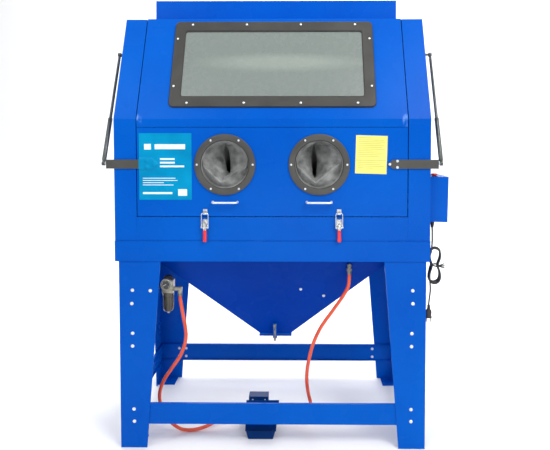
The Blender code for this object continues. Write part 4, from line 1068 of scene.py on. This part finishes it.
def make_stays():
    """Telescopic stays: lacquered tube with a collar, rod, eyes and pivot nuts."""
    foot, head = Vector((0, -0.0025, 1.122)), Vector((0, 0.2, 1.566))
    reach = (head - foot).length
    barrel = [(0.005, 0.006), (0.0066, 0.01), (0.0083, 0.015), (0.0083, 0.186), (0.0076, 0.1915)]
    collar = [(0.008, 0.0), (0.0085, 0.001), (0.0085, 0.01), (0.0078, 0.0128), (0.0062, 0.0135)]
    rod_start, collar_start = 0.060, 0.180
    for side, word in SIDES:
        base, top = (at(side * 0.649, 0, 0) + end for end in (foot, head))
        axis = towards(base, (head - foot).normalized())

        def across(point, inset):
            return towards(point + Vector((side * inset, 0, 0)), (side, 0, 0))

        turned(f"stay_barrel_{word}",
               [(barrel, axis, 32), ([(0.0088, -0.0054), (0.0088, 0.0054)], across(base, 0.0), 28)],
               LACQUER, f"stay_tube_{word}", replaces=[f"stay_tube_{word}"], slot="dark_trim", bevel=0.0006)
        turned(f"stay_collar_{word}", [(collar, axis @ Matrix.Translation((0, 0, collar_start)), 28)],
               BLACK, f"stay_tube_{word}")
        turned(f"stay_bar_{word}",
               [([(0.0056, rod_start), (0.0056, reach)], axis, 24),
                ([(0.009, -0.0058), (0.009, 0.0058)], across(top, 0.0), 28),
                ([(0.005, 0.0), (0.005, 0.034)], across(top, -0.038), 20)],
               LACQUER, f"stay_rod_{word}", replaces=[f"stay_rod_{word}"], slot="dark_trim", bevel=0.0006)
        turned(f"stay_foot_stud_{word}",
               [([(0.0045, 0.0), (0.0045, 0.006)], across(base, -0.0085), 20),
                ([(0.0066, 0), (0.0066, 0.0024), (0.0054, 0.003)], across(base, 0.0054), 6)],
               SCREW, f"stay_tube_{word}", smooth=25)
        turned(f"stay_top_nut_{word}",
               [([(0.0068, 0), (0.0068, 0.0018), (0.0056, 0.0025)], across(top, 0.0058), 6)],
               SCREW, f"stay_rod_{word}", smooth=25)


# --------------------------------------------------------------------- services


def make_gauge(face):
    """Pressure gauge: case with a rim, dial, ticks and a pointer."""
    seat = towards(face, FRONT)
    case = [(0.0192, -0.018), (0.0205, -0.016), (0.0212, 0.0), (0.0212, 0.004), (0.02, 0.0052),
            (0.0184, 0.005), (0.018, 0.0036)]
    turned("gauge_case", [(case, seat, 48)], ALLOY, "cabinet", slot="cast_alloy")
    turned("gauge_dial", [([(0.0178, 0.003), (0.0178, 0.0042)], seat, 48)], DIAL, "cabinet")
    mesh = bmesh.new()
    marks = [(225 - 270 * i / 20, 0.0160, 0.0034 if i % 5 == 0 else 0.0020, 0.0043, 0.0007)
             for i in range(21)]
    marks.append((208, 0.0125, 0.0150, 0.0048, 0.0010))
    for angle, end, length, height, width in marks:
        spin = seat @ Matrix.Rotation(math.radians(angle), 4, "Z")
        spin = spin @ Matrix.Translation((end - length / 2, 0, height))
        add_box(mesh, (-length / 2, -width / 2, 0), (length / 2, width / 2, 0.0002), spin)
    build("gauge_marks", mesh, PALE, "cabinet")


def make_regulator():
    """Filter regulator: gauge, ribbed bowl with a drain, and a fluted knob."""
    x, y = -0.422, 0.070
    make_gauge(at(x + 0.002, 0.0245, 0.6435))
    axis = Matrix.Translation(at(x, y, 0))
    bowl = [(0.01, 0.522), (0.016, 0.525), (0.019, 0.53), (0.0203, 0.54), (0.0203, 0.586),
            (0.0222, 0.5866), (0.0222, 0.599)]
    turned("filter_bowl_clear", [(bowl, axis, 48)], BOWL, "cabinet", replaces=["regulator_bowl"],
           slot="filter_bowl")
    mesh = bmesh.new()
    for angle in turns(12):
        spin = axis @ Matrix.Rotation(angle, 4, "Z")
        add_box(mesh, (0.0198, -0.0012, 0.534), (0.0216, 0.0012, 0.584), spin)
    build("filter_bowl_ribs", mesh, BOWL, "cabinet", bevel=0.0004)
    drain = [(0.004, 0.515), (0.0048, 0.516), (0.0048, 0.521), (0.009, 0.5222)]
    turned("filter_drain", [(drain, axis, 20)], BRASS, "cabinet")
    loops = []
    for z, radius, flute in ((0.6504, 0.0150, 0.0), (0.6525, 0.0172, 0.0008), (0.6610, 0.0170, 0.0010),
                             (0.6640, 0.0166, 0.0008), (0.6660, 0.0150, 0.0), (0.6664, 0.0120, 0.0)):
        rim = [(angle, radius + flute * math.cos(18 * angle)) for angle in turns(144)]
        loops.append([at(x + reach * math.cos(angle), y + reach * math.sin(angle), z)
                      for angle, reach in rim])
    lofted("pressure_knob", loops, BLACK, "regulator_knob", replaces=["regulator_knob"],
           slot="black_plastic")


def make_hose_ends():
    """Knurled ferrules that clamp the hoses at the fittings."""
    ferrule = [(0.0074, 0.0), (0.0084, 0.0006), (0.0084, 0.0035), (0.0079, 0.004), (0.0079, 0.0065),
               (0.0084, 0.007), (0.0084, 0.0105), (0.0076, 0.0115)]
    ends = [(FEED_HOSE_ROUTE[0], (0, 0, -1)), (FEED_HOSE_ROUTE[-1], (-1, 0, 0)),
            (GUN_HOSE_ROUTE[0], (0, 0, -1)), (GUN_HOSE_ROUTE[-1], (1, 0, 0))]
    turned("hose_ferrules", [(ferrule, towards(at(*point) + Vector(way) * -0.002, way), 32)
                             for point, way in ends], FITTING, "cabinet", slot="fitting_brass")


def make_control_box_trim():
    """Side screws, switch collar and ribbed cable gland of the control box."""
    screws = [(at(0.6845 + 0.003 * (z - 0.89) / 0.18, y, z), (1, 0, 0)) for y in (0.045, 0.165)
              for z in (0.905, 0.955)]
    screw_heads("box_screws", screws, 0.004, 0.0011, "cabinet")
    collar = [(0.0095, 0.0), (0.015, 0.0001), (0.015, 0.0006), (0.0142, 0.001), (0.0095, 0.001)]
    turned("switch_collar", [(collar, Matrix.Translation(at(0.64, 0.07, 1.0682)), 36)], BLACK, "cabinet")
    gland = [(0.0128, 0.89), (0.0128, 0.888), (0.0112, 0.8872)]
    for i in range(5):
        start = 0.886 - 0.005 * i
        radius = 0.0092 - 0.0008 * i
        gland += [(radius, start), (radius, start - 0.0026), (radius - 0.0012, start - 0.003),
                  (radius - 0.0012, start - 0.0048)]
    gland.append((0.004, 0.8596))
    turned("cable_gland", [(gland, Matrix.Translation(at(0.638, 0.085, 0)), 28)], BLACK, "cabinet",
           replaces=["mains_gland"], slot="black_plastic")


def make_rear_details():
    """Screws round the dust port's flange and along the rear and roof seams."""
    flange_y, circle, port_z = BODY_DEPTH + 0.0033, 0.0665, 1.45
    angles = [2 * math.pi * (i + 0.5) / 8 for i in range(8)]
    places = [(at(circle * math.cos(angle), flange_y, port_z + circle * math.sin(angle)), REAR)
              for angle in angles]
    places += [(at(side * 0.592, BODY_DEPTH, 0.88 + i * 0.13), REAR) for side in (-1, 1) for i in range(7)]
    places += [(at(-0.46 + 0.23 * i, BODY_DEPTH, 1.69), REAR) for i in range(5)]
    screw_heads("rear_screws", places, 0.0042, 0.0026, "cabinet")


def make_pedal_details():
    """Ribs on the tread, its hinge pin and the valve's screws."""
    x = -0.052
    tilt = Matrix.Translation(at(x, 0.0715, 0.034)) @ Matrix.Rotation(math.radians(27), 4, "X")
    mesh = bmesh.new()
    for i in range(7):
        reach, half = 0.020 + 0.016 * i, 0.050 + 0.0012 * i
        add_box(mesh, (-half, reach - 0.0016, 0.0034), (half, reach + 0.0016, 0.0048), tilt)
    build("tread_ribs", mesh, BLUE_SHADED, "pedal_tread", bevel=0.0005)
    pin = [(0.0035, -0.058), (0.0035, 0.058)]
    turned("tread_pin", [(pin, towards(at(x, 0.0725, 0.026), (1, 0, 0)), 20)], DARK, "cabinet", bevel=0.0006)
    places = [(at(x + dx, 0.2149, z), FRONT) for dx in (-0.045, 0.008) for z in (0.018, 0.086)]
    screw_heads("valve_screws", places, 0.0034, 0.0024, "cabinet")


make_camera()
make_set()
dress_nodes()
make_cords()
make_sleeves()
make_glove_rings()
make_window_trim()
make_handles()
make_latches()
make_labels()
make_strap_screws()
make_door_returns()
make_stand_fittings()
make_hopper_fittings()
make_light_housing_trim()
make_stays()
make_regulator()
make_hose_ends()
make_control_box_trim()
make_rear_details()
make_pedal_details()
